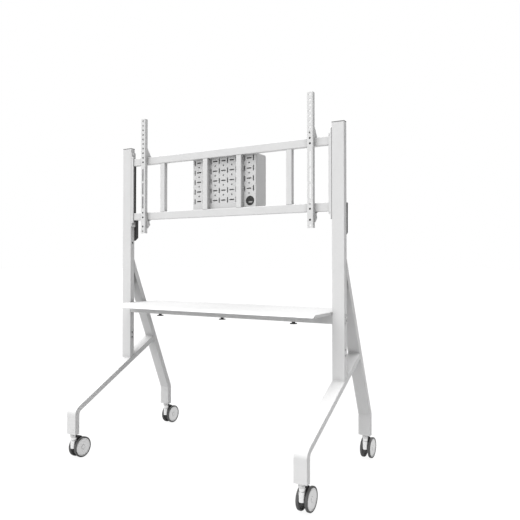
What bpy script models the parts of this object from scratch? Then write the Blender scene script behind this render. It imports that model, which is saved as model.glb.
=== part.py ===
"""A mobile stand for a large flat screen, in metres, with +Z up.

The origin is on the floor under the middle of the stand. The screen would face -Y.
Two columns carry a rail frame, a shelf and a box for a media player, and each column
stands on a front leg and a rear leg with casters. Heights are measured from the floor.
Depths named ..._Y are measured from the plane through the middle of both columns.
"""
import math

import bmesh
import bpy
from mathutils import Matrix, Vector

# General clearances
GAP = 0.0003                  # between pieces that touch
RUNNING = 0.0006              # between pieces that turn or slide past each other
WELD = 0.00001                # vertices closer than this are one vertex

# Columns
COLUMN_SPACING = 1.260        # between the middles of the two columns
COLUMN_WIDTH = 0.060
COLUMN_DEPTH = 0.030
COLUMN_ABOVE = 0.058          # from the top rail up to the columns' tops
TUBE_WALL = 0.002
TUBE_CORNER = 0.003
CAP_THICKNESS = 0.004
CAP_SKIRT = 0.012
CAP_EDGE = 0.0012

# Legs
LEG_WIDTH = 0.060
LEG_DEPTH = 0.028
FOOT_BOTTOM = 0.123
FRONT_REACH = 0.387           # from the columns to the middle of the front feet
FRONT_CORNER = 0.2402         # height where the front foot's and the sloping run's middles cross
FRONT_SLOPE = math.radians(27.3)
FRONT_BEND = 0.036
REAR_REACH = 0.328
REAR_CORNER = 0.227
REAR_CLEAR = 0.0017           # from where a rear leg meets its column up to the lowered carriage
REAR_BEND = 0.025
BEND_STEPS = 5
PLUG_HEIGHT = 0.020

# Rail frame
RAIL_HEIGHT = 0.040
RAIL_DEPTH = 0.025
RAIL_FRONT_Y = -0.010
TOP_RAIL = 1.527              # height of the rail's middle
RAIL_SPACING = 0.301          # between the middles of the two rails
BAR_WIDTH = 0.030
BAR_PLACES = (-0.381, -0.1015, 0.1015, 0.381)
END_PLATE_WIDTH = 0.0124
END_PLATE_DEPTH = 0.008
END_PLATE_FRONT_Y = -0.015
END_PLATE_ABOVE = 0.012       # above the top rail
END_PLATE_BELOW = 0.014       # below the bottom rail
END_PLATE_LEG = 0.003         # thickness of its leg beside the column
END_PLATE_TAB = 0.0125        # how far the leg reaches past the middle of a bolt
FRAME_LIFT = 0.100            # how far the rail frame can be set lower

# Carriages that carry the rail frame on the columns
CARRIAGE_OUT = 0.0154         # from the column's side to the carriage's inner face
CARRIAGE_WALL = 0.003
CARRIAGE_BACK_Y = 0.010
CARRIAGE_FRONT_Y = -0.0067
CARRIAGE_ABOVE = 0.010        # above the top rail
CARRIAGE_BELOW = 0.009        # below the bottom rail
WRAP_BELOW = 0.112            # below the bottom rail
WRAP_SLOPE = 0.0166           # how far its underside rises towards the rear
WRAP_ABOVE = 0.019            # above the middle of the bottom rail
WRAP_THICKNESS = 0.016
WRAP_START = 0.0071           # from the carriage's inner face
WRAP_REACH = 0.057            # how far it goes behind the column
FRAME_BOLT_ABOVE = 0.0255     # above the top rail
FRAME_BOLT_BELOW = 0.0235     # below the bottom rail

# Button head bolts
BOLT_RADIUS = 0.004
BOLT_HOLE_RADIUS = 0.0046
FRAME_HEAD_RADIUS = 0.006
SHELF_HEAD_RADIUS = 0.008
HEAD_HEIGHT = 0.0045

# Brackets that a screen is screwed to
BRACKET_INSET = 0.100         # from a column's inner side, which sets them 1 m apart
BRACKET_WIDTH = 0.030
BRACKET_DEPTH = 0.020
BRACKET_WALL = 0.002
BRACKET_ABOVE = 0.208         # above the top rail
BRACKET_BELOW = 0.074         # below the bottom rail
FIRST_HOLE_DROP = 0.0114      # from the bracket's top
HOLE_PITCH = 0.025
HOLE_RADIUS = 0.0045
HOLE_ROWS = (0, 1, 2, 3, 4, 5, 6, 7, 8, 9, 20, 21, 23, 24)
SLOT_ROWS = ((10.5, 13.1), (13.55, 16.0), (16.45, 19.0))   # their ends, in pitches
SLOT_WIDTH = 0.008
HOOK_START = 0.050            # above the rail, where the hook leaves the flange
HOOK_RISE = 0.007
HOOK_TONGUE = 0.022
HOOK_THICKNESS = 0.003

# Latches that lock the brackets behind the bottom rail
LATCH_PIN_Y = 0.0054
LATCH_PIN_DROP = 0.025        # from the rail's underside down to the pin
LATCH_PIN_RADIUS = 0.0025
LATCH_PIN_HEAD = 0.0045
LATCH_PIN_HEAD_HEIGHT = 0.0012
LATCH_WALL = 0.002
LATCH_HOOK = 0.019            # how far the latch reaches up behind the rail
LATCH_FOOT = 0.023            # from the pin down to the lowest corner
LUG_HALF = 0.0065             # half the height of the bracket's lug at the pin
LUG_BACK = 0.0065             # from the pin to the back of the lug

# Box for a media player
BOX_WIDTH = 0.380
BOX_CENTRE_X = -0.0035
BOX_DEPTH = 0.100
BOX_LAP = 0.013               # how far the box stands behind each rail
BOX_WALL = 0.0015
BOX_EDGE = 0.010
DASH_PITCH = 0.0513
DASH_ROW_PITCH = 0.0497
DASH_TOP_DROP = 0.029         # from the box's top to the first row
DASH_LENGTH = 0.028
DASH_WIDTH = 0.005
DASH_MARGIN = 0.007           # least metal between the pattern and the panel's edges
DOT_RADIUS = 0.004
DOT_BELOW_ROW = 0.0235
GROMMET_INSET = 0.0328        # from the box's right side
GROMMET_RISE = 0.0465         # above the box's bottom
GROMMET_RADIUS = 0.0235
GROMMET_HOLE = 0.020
GROMMET_FLANGE = 0.002
GROMMET_SLOT = 0.007
DOOR_FRAME = 0.022            # width of the rim round the door
HINGE_RADIUS = 0.003
HINGE_LENGTH = 0.026
HINGE_INSET = 0.030           # from the door's edge to the end of a hinge
LOCK_RADIUS = 0.0095
LOCK_FACE = 0.003
LOCK_DEPTH = 0.016
LOCK_INSET = 0.022

# Shelf
SHELF_TOP = 0.7525
SHELF_WALL = 0.0015
SHELF_FOLD_Y = -0.187         # where the front lip starts to slope down
SHELF_LIP_Y = -0.2145
SHELF_LIP_DROP = 0.0135
SHELF_BACK_Y = 0.200
SHELF_RIM = 0.013
BEAM_HEIGHT = 0.050
BEAM_DEPTH = 0.025
SHELF_BOLT_DROPS = (0.016, 0.0415)   # below the shelf's top
SHELF_LIFT = 0.150            # how far the shelf can be set lower
KNOB_PLACES = (-0.400, 0.0, 0.400)
KNOB_RADIUS = 0.0175
KNOB_DISC = 0.004
KNOB_NECK_RADIUS = 0.0085
KNOB_HEIGHT = 0.0105
KNOB_STUD = 0.012

# Casters
WHEEL_RADIUS = 0.050
WHEEL_WIDTH = 0.0135
CASTER_WIDTH = 0.052
CASTER_TRAIL = 0.044
TYRE_THICKNESS = 0.009
TYRE_SHOULDER = 0.004
HUB_DISH = 0.0015
HUB_WEB = 0.004
AXLE_RADIUS = 0.004
AXLE_DEPTH = 0.008            # how deep the axle goes into a hub
POST_RADIUS = 0.0115
POST_BOTTOM = 0.051
COLLAR_RADIUS = 0.0135
COLLAR_HEIGHT = 0.016
STEM_RADIUS = 0.006
STEM_BELOW = 0.022            # how far the stem hangs below its plug
ARM_WIDTH = 0.015
BOSS_RADIUS = 0.013
PEDAL_PIVOT = (0.026, 0.078)  # behind the stem, and height
PEDAL_PIN_RADIUS = 0.0025
PEDAL_BACK = 0.047
PEDAL_FRONT_DROP = 0.0085     # from the leg's foot
PEDAL_BACK_DROP = 0.022
PEDAL_THICKNESS = 0.005
PEDAL_CHEEK = 0.003
WHEEL_SEGMENTS = 20
PIN_SEGMENTS = 12

# Places that follow from the sizes
SIDES = (("left", -1), ("right", 1))
COLUMN_X = COLUMN_SPACING / 2
INNER_X = COLUMN_X - COLUMN_WIDTH / 2
OUTER_X = COLUMN_X + COLUMN_WIDTH / 2
FRONT_END = FRONT_REACH + LEG_DEPTH / 2
REAR_END = REAR_REACH + CASTER_TRAIL + WHEEL_RADIUS
COLUMN_Y = (FRONT_END - REAR_END) / 2
RAIL_BACK_Y = RAIL_FRONT_Y + RAIL_DEPTH
BOTTOM_RAIL = TOP_RAIL - RAIL_SPACING
TOP_RAIL_UNDER = TOP_RAIL - RAIL_HEIGHT / 2
TOP_RAIL_OVER = TOP_RAIL + RAIL_HEIGHT / 2
BOTTOM_RAIL_UNDER = BOTTOM_RAIL - RAIL_HEIGHT / 2
BOTTOM_RAIL_OVER = BOTTOM_RAIL + RAIL_HEIGHT / 2
COLUMN_TOP = TOP_RAIL_OVER + COLUMN_ABOVE
END_PLATE_TOP = TOP_RAIL_OVER + END_PLATE_ABOVE
END_PLATE_BOTTOM = BOTTOM_RAIL_UNDER - END_PLATE_BELOW
CARRIAGE_X = INNER_X - CARRIAGE_OUT
CARRIAGE_TOP = TOP_RAIL_OVER + CARRIAGE_ABOVE
CARRIAGE_BOTTOM = BOTTOM_RAIL_UNDER - CARRIAGE_BELOW
WRAP_TOP = BOTTOM_RAIL + WRAP_ABOVE
WRAP_BOTTOM = BOTTOM_RAIL_UNDER - WRAP_BELOW
LEG_SEAT = CARRIAGE_X + END_PLATE_WIDTH - END_PLATE_LEG
FRAME_BOLT_HEIGHTS = (BOTTOM_RAIL_UNDER - FRAME_BOLT_BELOW, TOP_RAIL_OVER + FRAME_BOLT_ABOVE)
REAR_MEET = WRAP_BOTTOM - FRAME_LIFT - REAR_CLEAR
REAR_LEAN = math.atan2(REAR_REACH, REAR_MEET - REAR_CORNER)
BRACKET_TOP = TOP_RAIL_OVER + BRACKET_ABOVE
BRACKET_BOTTOM = BOTTOM_RAIL_UNDER - BRACKET_BELOW
LATCH_PIN_HEIGHT = BOTTOM_RAIL_UNDER - LATCH_PIN_DROP

# An outline drawn in a plane is turned so that its thickness lies along one axis
FACING = {
    "X": Matrix(((0, 0, 1), (1, 0, 0), (0, 1, 0))),
    "-X": Matrix(((0, 0, -1), (-1, 0, 0), (0, 1, 0))),
    "Y": Matrix(((1, 0, 0), (0, 0, -1), (0, 1, 0))),
    "-Y": Matrix(((-1, 0, 0), (0, 0, 1), (0, 1, 0))),
    "Z": Matrix.Identity(3),
    "-Z": Matrix(((1, 0, 0), (0, -1, 0), (0, 0, -1))),
}


def new_collection(name):
    collection = bpy.data.collections.new(name)
    bpy.context.scene.collection.children.link(collection)
    return collection


for old in list(bpy.data.objects):
    bpy.data.objects.remove(old, do_unlink=True)
STAND = new_collection("mobile_screen_stand")
CUTTERS = new_collection("cutters")


def finish(name, colour, roughness, metallic=0.0):
    """A material with one colour, roughness and metallic value."""
    material = bpy.data.materials.new(name)
    material.use_nodes = True
    shader = material.node_tree.nodes["Principled BSDF"]
    shader.inputs["Base Color"].default_value = (*colour, 1.0)
    shader.inputs["Roughness"].default_value = roughness
    shader.inputs["Metallic"].default_value = metallic
    return material


WHITE_PAINT = finish("white_powder_coat", (0.86, 0.86, 0.86), 0.45)
BLACK_STEEL = finish("black_powder_coat", (0.03, 0.03, 0.032), 0.5)
BLACK_PLASTIC = finish("black_plastic", (0.035, 0.035, 0.037), 0.45)
GREY_PLASTIC = finish("grey_plastic", (0.20, 0.20, 0.21), 0.5)
BRIGHT_STEEL = finish("bright_steel", (0.62, 0.62, 0.63), 0.25, 1.0)
GREY_TYRE = finish("grey_tyre", (0.10, 0.10, 0.105), 0.7)
PALE_METAL = finish("pale_metal", (0.58, 0.58, 0.59), 0.4)


# Outlines

def rectangle(width, height, centre=(0.0, 0.0)):
    u, v = centre
    return [(u - width / 2, v - height / 2), (u + width / 2, v - height / 2),
            (u + width / 2, v + height / 2), (u - width / 2, v + height / 2)]


def arc(centre, radius, start, end, steps):
    """Points from one angle to another, both ends included."""
    angles = [start + (end - start) * step / steps for step in range(steps + 1)]
    return [(centre[0] + radius * math.cos(a), centre[1] + radius * math.sin(a)) for a in angles]


def rounded_rectangle(width, height, radius, steps=2):
    points = []
    corners = ((1, 1), (-1, 1), (-1, -1), (1, -1))
    for quarter, (right, up) in enumerate(corners):
        centre = (right * (width / 2 - radius), up * (height / 2 - radius))
        points += arc(centre, radius, quarter * math.pi / 2, (quarter + 1) * math.pi / 2, steps)
    return points


def ring(radius, sides, centre=(0.0, 0.0)):
    return arc(centre, radius, 0.0, 2 * math.pi, sides)[:-1]


def tube_section(width, depth, wall=TUBE_WALL, corner=TUBE_CORNER):
    """The outer and inner outline of a rectangular tube."""
    inner = max(corner - wall, wall / 4)
    return [rounded_rectangle(width, depth, corner),
            rounded_rectangle(width - 2 * wall, depth - 2 * wall, inner)]


# Solids

def with_curve(curve):
    """The welded mesh of a curve; the curve's object is dropped."""
    drawn = bpy.data.objects.new(curve.name, curve)
    CUTTERS.objects.link(drawn)
    mesh = evaluated(drawn)
    bpy.data.objects.remove(drawn, do_unlink=True)
    tidy_mesh(mesh)
    return mesh


def evaluated(thing):
    """A new mesh of the object as its modifiers leave it."""
    bpy.context.view_layer.update()
    graph = bpy.context.evaluated_depsgraph_get()
    return bpy.data.meshes.new_from_object(thing.evaluated_get(graph))


def tidy_mesh(mesh):
    """Weld coinciding points and turn every face outwards."""
    work = bmesh.new()
    work.from_mesh(mesh)
    bmesh.ops.remove_doubles(work, verts=work.verts, dist=WELD)
    bmesh.ops.recalc_face_normals(work, faces=work.faces)
    work.to_mesh(mesh)
    work.free()


def add_loop(curve, points, closed=True):
    spline = curve.splines.new("POLY")
    spline.points.add(len(points) - 1)
    for target, point in zip(spline.points, points):
        target.co = (*point, 0.0, 1.0) if len(point) == 2 else (*point, 1.0)
    spline.use_cyclic_u = closed


def sheet(loops, thickness):
    """A flat outline with holes, as a solid centred on its own plane."""
    curve = bpy.data.curves.new("outline", "CURVE")
    curve.dimensions = "2D"
    curve.fill_mode = "BOTH"
    curve.extrude = thickness / 2
    for loop in loops:
        add_loop(curve, loop)
    return with_curve(curve)


def block(width, depth, height, edge=0.0):
    """A box centred on its own origin, with rounded edges where edge is given."""
    mesh = bpy.data.meshes.new("block")
    work = bmesh.new()
    bmesh.ops.create_cube(work, size=1.0)
    bmesh.ops.scale(work, vec=(width, depth, height), verts=work.verts)
    if edge:
        bmesh.ops.bevel(work, geom=work.edges[:], offset=edge, segments=2, profile=0.5,
                        affect="EDGES")
    work.to_mesh(mesh)
    work.free()
    return mesh


def rod(radius, length, sides=PIN_SEGMENTS, end_radius=None):
    """A cylinder along Z, centred on its own origin."""
    mesh = bpy.data.meshes.new("rod")
    work = bmesh.new()
    bmesh.ops.create_cone(work, cap_ends=True, segments=sides, radius1=radius,
                          radius2=radius if end_radius is None else end_radius, depth=length)
    work.to_mesh(mesh)
    work.free()
    return mesh


def turned(profile, steps):
    """A solid of revolution about Z from (radius, height) points, outer side downwards."""
    mesh = bpy.data.meshes.new("profile")
    links = [(i, (i + 1) % len(profile)) for i in range(len(profile))]
    mesh.from_pydata([(radius, 0.0, height) for radius, height in profile], links, [])
    lathe = bpy.data.objects.new("lathe", mesh)
    CUTTERS.objects.link(lathe)
    screw = lathe.modifiers.new("turn", "SCREW")
    screw.axis = "Z"
    screw.steps = steps
    screw.render_steps = steps
    screw.use_merge_vertices = True
    screw.merge_threshold = WELD
    solid = evaluated(lathe)
    bpy.data.objects.remove(lathe, do_unlink=True)
    tidy_mesh(solid)
    return solid


def joined(pieces):
    """One mesh that holds each (mesh, axis, place) of the list."""
    whole = bmesh.new()
    for mesh, axis, place in pieces:
        copy = mesh.copy()
        copy.transform(Matrix.Translation(Vector(place)) @ FACING[axis].to_4x4())
        whole.from_mesh(copy)
        bpy.data.meshes.remove(copy)
    result = bpy.data.meshes.new("group")
    whole.to_mesh(result)
    whole.free()
    return result


def part(name, mesh, material, axis="Z", at=(0.0, 0.0, 0.0)):
    """A named sub-part in the stand's collection."""
    thing = bpy.data.objects.new(name, mesh)
    STAND.objects.link(thing)
    mesh.materials.clear()
    mesh.materials.append(material)
    thing.location = at
    thing.rotation_euler = FACING[axis].to_euler()
    if len(mesh.polygons) > 12:
        mesh.shade_smooth()
        mesh.set_sharp_from_angle(angle=math.radians(30))
    return thing


def cutter(name, mesh, axis="Z", at=(0.0, 0.0, 0.0), tilt=0.0):
    """A solid that only shapes others; tilt turns it about X."""
    thing = bpy.data.objects.new(name, mesh)
    CUTTERS.objects.link(thing)
    thing.location = at
    thing.rotation_euler = (Matrix.Rotation(tilt, 3, "X") @ FACING[axis]).to_euler()
    thing.hide_render = True
    thing.display_type = "WIRE"
    return thing


def shaped(target, tool, operation="DIFFERENCE"):
    step = target.modifiers.new(tool.name, "BOOLEAN")
    step.operation = operation
    step.object = tool
    return target


def worked(mesh, tools):
    """A mesh after a list of (operation, mesh, axis, place) has been worked into it."""
    blank = bpy.data.objects.new("blank", mesh)
    CUTTERS.objects.link(blank)
    helpers = []
    for operation, tool_mesh, axis, place in tools:
        tool = cutter("tool", tool_mesh, axis, place)
        shaped(blank, tool, operation)
        helpers.append(tool)
    result = evaluated(blank)
    for thing in [blank] + helpers:
        bpy.data.objects.remove(thing, do_unlink=True)
    tidy_mesh(result)
    return result


def pivot(name, at, parent=None):
    """An empty on a joint's axis, which carries the pieces that move with it."""
    empty = bpy.data.objects.new(name, None)
    STAND.objects.link(empty)
    empty.empty_display_size = 0.05
    empty.location = at
    if parent:
        carry(parent, [empty])
    return empty


def carry(empty, things):
    """Parent things to an empty and leave them where they are."""
    bpy.context.view_layer.update()
    for thing in things:
        thing.parent = empty
        thing.matrix_parent_inverse = empty.matrix_world.inverted()


# Columns and legs

def make_columns():
    """Upright tubes, mitred onto the front legs, with bolt holes for frame and shelf."""
    slope_up = math.tan(FRONT_SLOPE)
    leg_over = front_leg_height(0.0) + LEG_DEPTH / 2 / math.cos(FRONT_SLOPE)
    lowest = leg_over - COLUMN_DEPTH * slope_up
    length = COLUMN_TOP - lowest
    tube = sheet(tube_section(COLUMN_WIDTH, COLUMN_DEPTH), length)
    trim_depth = 3 * COLUMN_DEPTH
    trim_at = (0.0, COLUMN_Y, leg_over + (GAP - trim_depth / 2) / math.cos(FRONT_SLOPE))
    trim = cutter("column_mitre", block(2 * COLUMN_SPACING, 8 * COLUMN_DEPTH, trim_depth),
                  at=trim_at, tilt=FRONT_SLOPE)
    frame_holes = [h - drop for h in FRAME_BOLT_HEIGHTS for drop in (0.0, FRAME_LIFT)]
    shelf_holes = [SHELF_TOP - d - drop for d in SHELF_BOLT_DROPS for drop in (0.0, SHELF_LIFT)]
    through = rod(BOLT_HOLE_RADIUS, 2 * COLUMN_WIDTH, sides=8)
    for side, sign in SIDES:
        column = part("column_" + side, tube.copy(), WHITE_PAINT,
                      at=(sign * COLUMN_X, COLUMN_Y, lowest + length / 2))
        shaped(column, trim)
        drilled = [(through, "X", (sign * COLUMN_X, COLUMN_Y, h)) for h in shelf_holes]
        drilled += [(through, "X", (sign * (INNER_X - COLUMN_WIDTH / 2), COLUMN_Y, h))
                    for h in frame_holes]
        shaped(column, cutter("column_holes_" + side, joined(drilled)))


def make_column_caps():
    """Plastic caps, each with a skirt inside its tube."""
    inside = 2 * (TUBE_WALL + GAP)
    top = block(COLUMN_WIDTH, COLUMN_DEPTH, CAP_THICKNESS, CAP_EDGE)
    skirt = block(COLUMN_WIDTH - inside, COLUMN_DEPTH - inside, CAP_SKIRT, CAP_EDGE)
    drop = -(CAP_THICKNESS + CAP_SKIRT) / 2 + CAP_EDGE
    cap = worked(top, [("UNION", skirt, "Z", (0.0, 0.0, drop))])
    height = COLUMN_TOP + GAP + CAP_THICKNESS / 2
    for side, sign in SIDES:
        part("column_cap_" + side, cap.copy(), GREY_PLASTIC,
             at=(sign * COLUMN_X, COLUMN_Y, height))


def front_leg_height(depth):
    """Height of the middle of a front leg's sloping run at a depth behind the columns."""
    return FRONT_CORNER + (FRONT_REACH + depth) * math.tan(FRONT_SLOPE)


def bent_path(foot, corner, turn, radius, end):
    """Depth and height along a leg: straight up its foot, round a bend, on to the end.

    turn is how far the leg turns away from the vertical, positive towards the rear.
    """
    way = 1 if turn > 0 else -1
    cut_back = radius * math.tan(abs(turn) / 2)
    centre = (corner[0] + way * radius, corner[1] - cut_back)
    if way > 0:
        bend = arc(centre, radius, math.pi, math.pi - abs(turn), BEND_STEPS)
    else:
        bend = arc(centre, radius, 0.0, abs(turn), BEND_STEPS)
    return [foot] + bend + [end]


def leg_tube(path):
    """A rectangular tube swept along a path in the plane of depth and height."""
    section = bpy.data.curves.new("leg_section", "CURVE")
    section.dimensions = "2D"
    add_loop(section, rounded_rectangle(LEG_WIDTH, LEG_DEPTH, TUBE_CORNER))
    section_object = bpy.data.objects.new("leg_section", section)
    CUTTERS.objects.link(section_object)
    sweep = bpy.data.curves.new("leg_path", "CURVE")
    sweep.dimensions = "3D"
    sweep.bevel_mode = "OBJECT"
    sweep.bevel_object = section_object
    add_loop(sweep, [(0.0, depth, height) for depth, height in path], closed=False)
    mesh = with_curve(sweep)
    bpy.data.objects.remove(section_object, do_unlink=True)
    return mesh


def add_leg(name, mesh, sign, trim):
    leg = part(name, mesh, WHITE_PAINT, at=(sign * COLUMN_X, COLUMN_Y, 0.0))
    wall = leg.modifiers.new("tube_wall", "SOLIDIFY")
    wall.thickness = TUBE_WALL
    wall.offset = -1.0
    shaped(leg, trim)


def make_legs():
    """Front legs that end on the rear legs, and rear legs that end on the columns."""
    overrun = 3 * LEG_DEPTH
    front_end_depth = REAR_REACH
    front = bent_path((-FRONT_REACH, FOOT_BOTTOM), (-FRONT_REACH, FRONT_CORNER),
                      math.pi / 2 - FRONT_SLOPE, FRONT_BEND,
                      (front_end_depth, front_leg_height(front_end_depth)))
    top_depth = -overrun
    top_height = REAR_CORNER + (REAR_REACH - top_depth) / math.tan(REAR_LEAN)
    rear = bent_path((REAR_REACH, FOOT_BOTTOM), (REAR_REACH, REAR_CORNER),
                     -REAR_LEAN, REAR_BEND, (top_depth, top_height))
    # The front leg is trimmed by the rear leg's front face
    trim_size = 2 * FRONT_REACH
    outward = Vector((0.0, math.cos(REAR_LEAN), math.sin(REAR_LEAN)))
    on_axis = Vector((0.0, COLUMN_Y + REAR_REACH, REAR_CORNER))
    face = on_axis - outward * (LEG_DEPTH / 2 + GAP)
    front_trim = cutter("front_leg_trim", block(2 * COLUMN_SPACING, trim_size, 2 * trim_size),
                        at=face + outward * (trim_size / 2), tilt=REAR_LEAN)
    # The rear leg is trimmed by the column's rear face
    back_of_column = COLUMN_Y + COLUMN_DEPTH / 2 + GAP
    rear_trim = cutter("rear_leg_trim", block(2 * COLUMN_SPACING, trim_size, 2 * COLUMN_TOP),
                       at=(0.0, back_of_column - trim_size / 2, COLUMN_TOP))
    front_mesh = leg_tube(front)
    rear_mesh = leg_tube(rear)
    for side, sign in SIDES:
        add_leg("front_leg_" + side, front_mesh.copy(), sign, front_trim)
        add_leg("rear_leg_" + side, rear_mesh.copy(), sign, rear_trim)


def caster_places():
    for end, depth in (("front", -FRONT_REACH), ("rear", REAR_REACH)):
        for side, sign in SIDES:
            yield end + "_" + side, (sign * COLUMN_X, COLUMN_Y + depth)


def make_foot_plugs():
    """Plugs in the feet, each with the steel stem that a caster turns on."""
    inside = 2 * (TUBE_WALL + GAP)
    blank = block(LEG_WIDTH - inside, LEG_DEPTH - inside, PLUG_HEIGHT, TUBE_CORNER / 3)
    length = STEM_BELOW + PLUG_HEIGHT / 2
    stem = rod(STEM_RADIUS, length)
    plug = worked(blank, [("UNION", stem, "Z", (0.0, 0.0, -length / 2))])
    height = FOOT_BOTTOM + PLUG_HEIGHT / 2
    for corner, (x, y) in caster_places():
        part("foot_plug_" + corner, plug.copy(), GREY_PLASTIC, at=(x, y, height))


# Rail frame

def make_rail_frame(lift):
    """Two long rails, four bars between them and a plate at each end."""
    reach = CARRIAGE_X - GAP
    middle_y = COLUMN_Y + RAIL_FRONT_Y + RAIL_DEPTH / 2
    rail = sheet(tube_section(RAIL_DEPTH, RAIL_HEIGHT), 2 * reach)
    pieces = [part("top_rail", rail, WHITE_PAINT, "X", (0.0, middle_y, TOP_RAIL)),
              part("bottom_rail", rail.copy(), WHITE_PAINT, "X", (0.0, middle_y, BOTTOM_RAIL))]
    clear = TOP_RAIL_UNDER - BOTTOM_RAIL_OVER - 2 * GAP
    middle = (TOP_RAIL_UNDER + BOTTOM_RAIL_OVER) / 2
    bar = sheet(tube_section(BAR_WIDTH, RAIL_DEPTH), clear)
    for number, x in enumerate(BAR_PLACES, start=1):
        pieces.append(part(f"upright_bar_{number}", bar.copy(), WHITE_PAINT,
                           at=(x, middle_y, middle)))
    # An angle at each end: a front strip, and a leg beside the column for the bolts
    leg_bottom = FRAME_BOLT_HEIGHTS[0] - END_PLATE_TAB
    leg_top = FRAME_BOLT_HEIGHTS[1] + END_PLATE_TAB
    leg_middle = (leg_bottom + leg_top) / 2
    leg_depth = COLUMN_DEPTH / 2 - END_PLATE_FRONT_Y
    leg = block(END_PLATE_LEG, leg_depth, leg_top - leg_bottom)
    strip = block(END_PLATE_WIDTH, END_PLATE_DEPTH, END_PLATE_TOP - END_PLATE_BOTTOM)
    leg_x = (END_PLATE_WIDTH - END_PLATE_LEG) / 2
    strip_y = (END_PLATE_DEPTH - leg_depth) / 2
    strip_middle = (END_PLATE_TOP + END_PLATE_BOTTOM) / 2 - leg_middle
    bolt_y = -(END_PLATE_FRONT_Y + leg_depth / 2)
    hole = rod(BOLT_RADIUS + GAP, 4 * END_PLATE_WIDTH)
    for side, sign in SIDES:
        tools = [("UNION", strip, "Z", (-sign * leg_x, strip_y, strip_middle))]
        tools += [("DIFFERENCE", hole, "X", (0.0, bolt_y, height - leg_middle))
                  for height in FRAME_BOLT_HEIGHTS]
        pieces.append(part("end_plate_" + side, worked(leg.copy(), tools), WHITE_PAINT,
                           at=(sign * (CARRIAGE_X + END_PLATE_WIDTH / 2 + leg_x),
                               COLUMN_Y + END_PLATE_FRONT_Y + leg_depth / 2, leg_middle)))
    carry(lift, pieces)


def make_carriages(lift):
    """Black channels behind the end plates, each with a block behind its column."""
    front = CARRIAGE_FRONT_Y
    back = CARRIAGE_BACK_Y
    wall = CARRIAGE_WALL
    depth = LEG_SEAT - CARRIAGE_X - GAP
    channel = [(0, front), (depth, front), (depth, front + wall), (wall, front + wall),
               (wall, back - wall), (depth, back - wall), (depth, back), (0, back)]
    behind = COLUMN_DEPTH / 2 + GAP
    rear = behind + WRAP_THICKNESS
    far = CARRIAGE_OUT + WRAP_REACH
    neck = [(0, front), (depth, front), (depth, behind), (far, behind), (far, rear),
            (WRAP_START, rear), (0, back)]
    foot = [(WRAP_START, behind), (far, behind), (far, rear), (WRAP_START, rear)]
    middle = (CARRIAGE_TOP + CARRIAGE_BOTTOM) / 2
    # The underside slopes up to the rear, so that it clears the rear leg when lowered
    trim_height = WRAP_TOP - WRAP_BOTTOM
    trim = block(4 * far, 4 * far, trim_height)
    trim.transform(Matrix.Rotation(math.atan2(WRAP_SLOPE, WRAP_THICKNESS), 4, "X")
                   @ Matrix.Translation((0.0, 0.0, -trim_height / 2)))
    neck_middle = (WRAP_TOP + CARRIAGE_BOTTOM) / 2
    foot_middle = (WRAP_TOP + WRAP_BOTTOM) / 2
    right = worked(sheet([channel], CARRIAGE_TOP - CARRIAGE_BOTTOM), [
        ("UNION", sheet([neck], WRAP_TOP - CARRIAGE_BOTTOM), "Z", (0.0, 0.0, neck_middle - middle)),
        ("UNION", sheet([foot], WRAP_TOP - WRAP_BOTTOM), "Z", (0.0, 0.0, foot_middle - middle)),
        ("DIFFERENCE", trim, "Z", (0.0, behind, WRAP_BOTTOM - middle))])
    left = right.copy()
    left.transform(Matrix.Scale(-1.0, 4, Vector((1.0, 0.0, 0.0))))
    tidy_mesh(left)
    meshes = {"left": left, "right": right}
    pieces = [part("carriage_" + side, meshes[side], BLACK_STEEL,
                   at=(sign * CARRIAGE_X, COLUMN_Y, middle)) for side, sign in SIDES]
    carry(lift, pieces)


def button_bolt(head_radius, shank_radius, shank):
    """A bolt along Z whose head stands on the plane z = 0 and whose shank goes down."""
    profile = [(0.0, HEAD_HEIGHT), (head_radius * 0.6, HEAD_HEIGHT),
               (head_radius, HEAD_HEIGHT * 0.4), (head_radius, 0.0)]
    if shank:
        profile += [(shank_radius, 0.0), (shank_radius, -shank)]
    profile.append((0.0, -shank))
    return turned(profile, PIN_SEGMENTS)


def make_frame_bolts(lift):
    """Bolts through the end plates, which press on the columns."""
    bolt = button_bolt(FRAME_HEAD_RADIUS, BOLT_RADIUS, INNER_X - LEG_SEAT)
    for side, sign in SIDES:
        toward_middle = "-X" if sign > 0 else "X"
        for level, height in zip(("lower", "upper"), FRAME_BOLT_HEIGHTS):
            carry(lift, [part(f"frame_bolt_{level}_{side}", bolt.copy(), BRIGHT_STEEL,
                              toward_middle, (sign * (LEG_SEAT - GAP), COLUMN_Y, height))])


# Screen brackets

def bracket_side():
    """Depth and height of a bracket's flange, with its hook over the rail and its lug."""
    front = RAIL_FRONT_Y - GAP - BRACKET_DEPTH
    edge = RAIL_FRONT_Y - GAP
    hook_front = RAIL_BACK_Y + GAP
    hook_back = hook_front + HOOK_THICKNESS
    over = TOP_RAIL_OVER + GAP
    pin = LATCH_PIN_HEIGHT
    lug_back = LATCH_PIN_Y + LUG_BACK
    return [(front, BRACKET_BOTTOM), (edge, BRACKET_BOTTOM), (edge, pin - LUG_HALF),
            (lug_back, pin - LUG_HALF), (lug_back, pin + LUG_HALF), (edge, pin + LUG_HALF),
            (edge, over), (hook_front, over), (hook_front, over - HOOK_TONGUE),
            (hook_back, over - HOOK_TONGUE), (hook_back, over + HOOK_RISE),
            (edge, over + HOOK_START), (edge, BRACKET_TOP), (front, BRACKET_TOP)]


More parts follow.
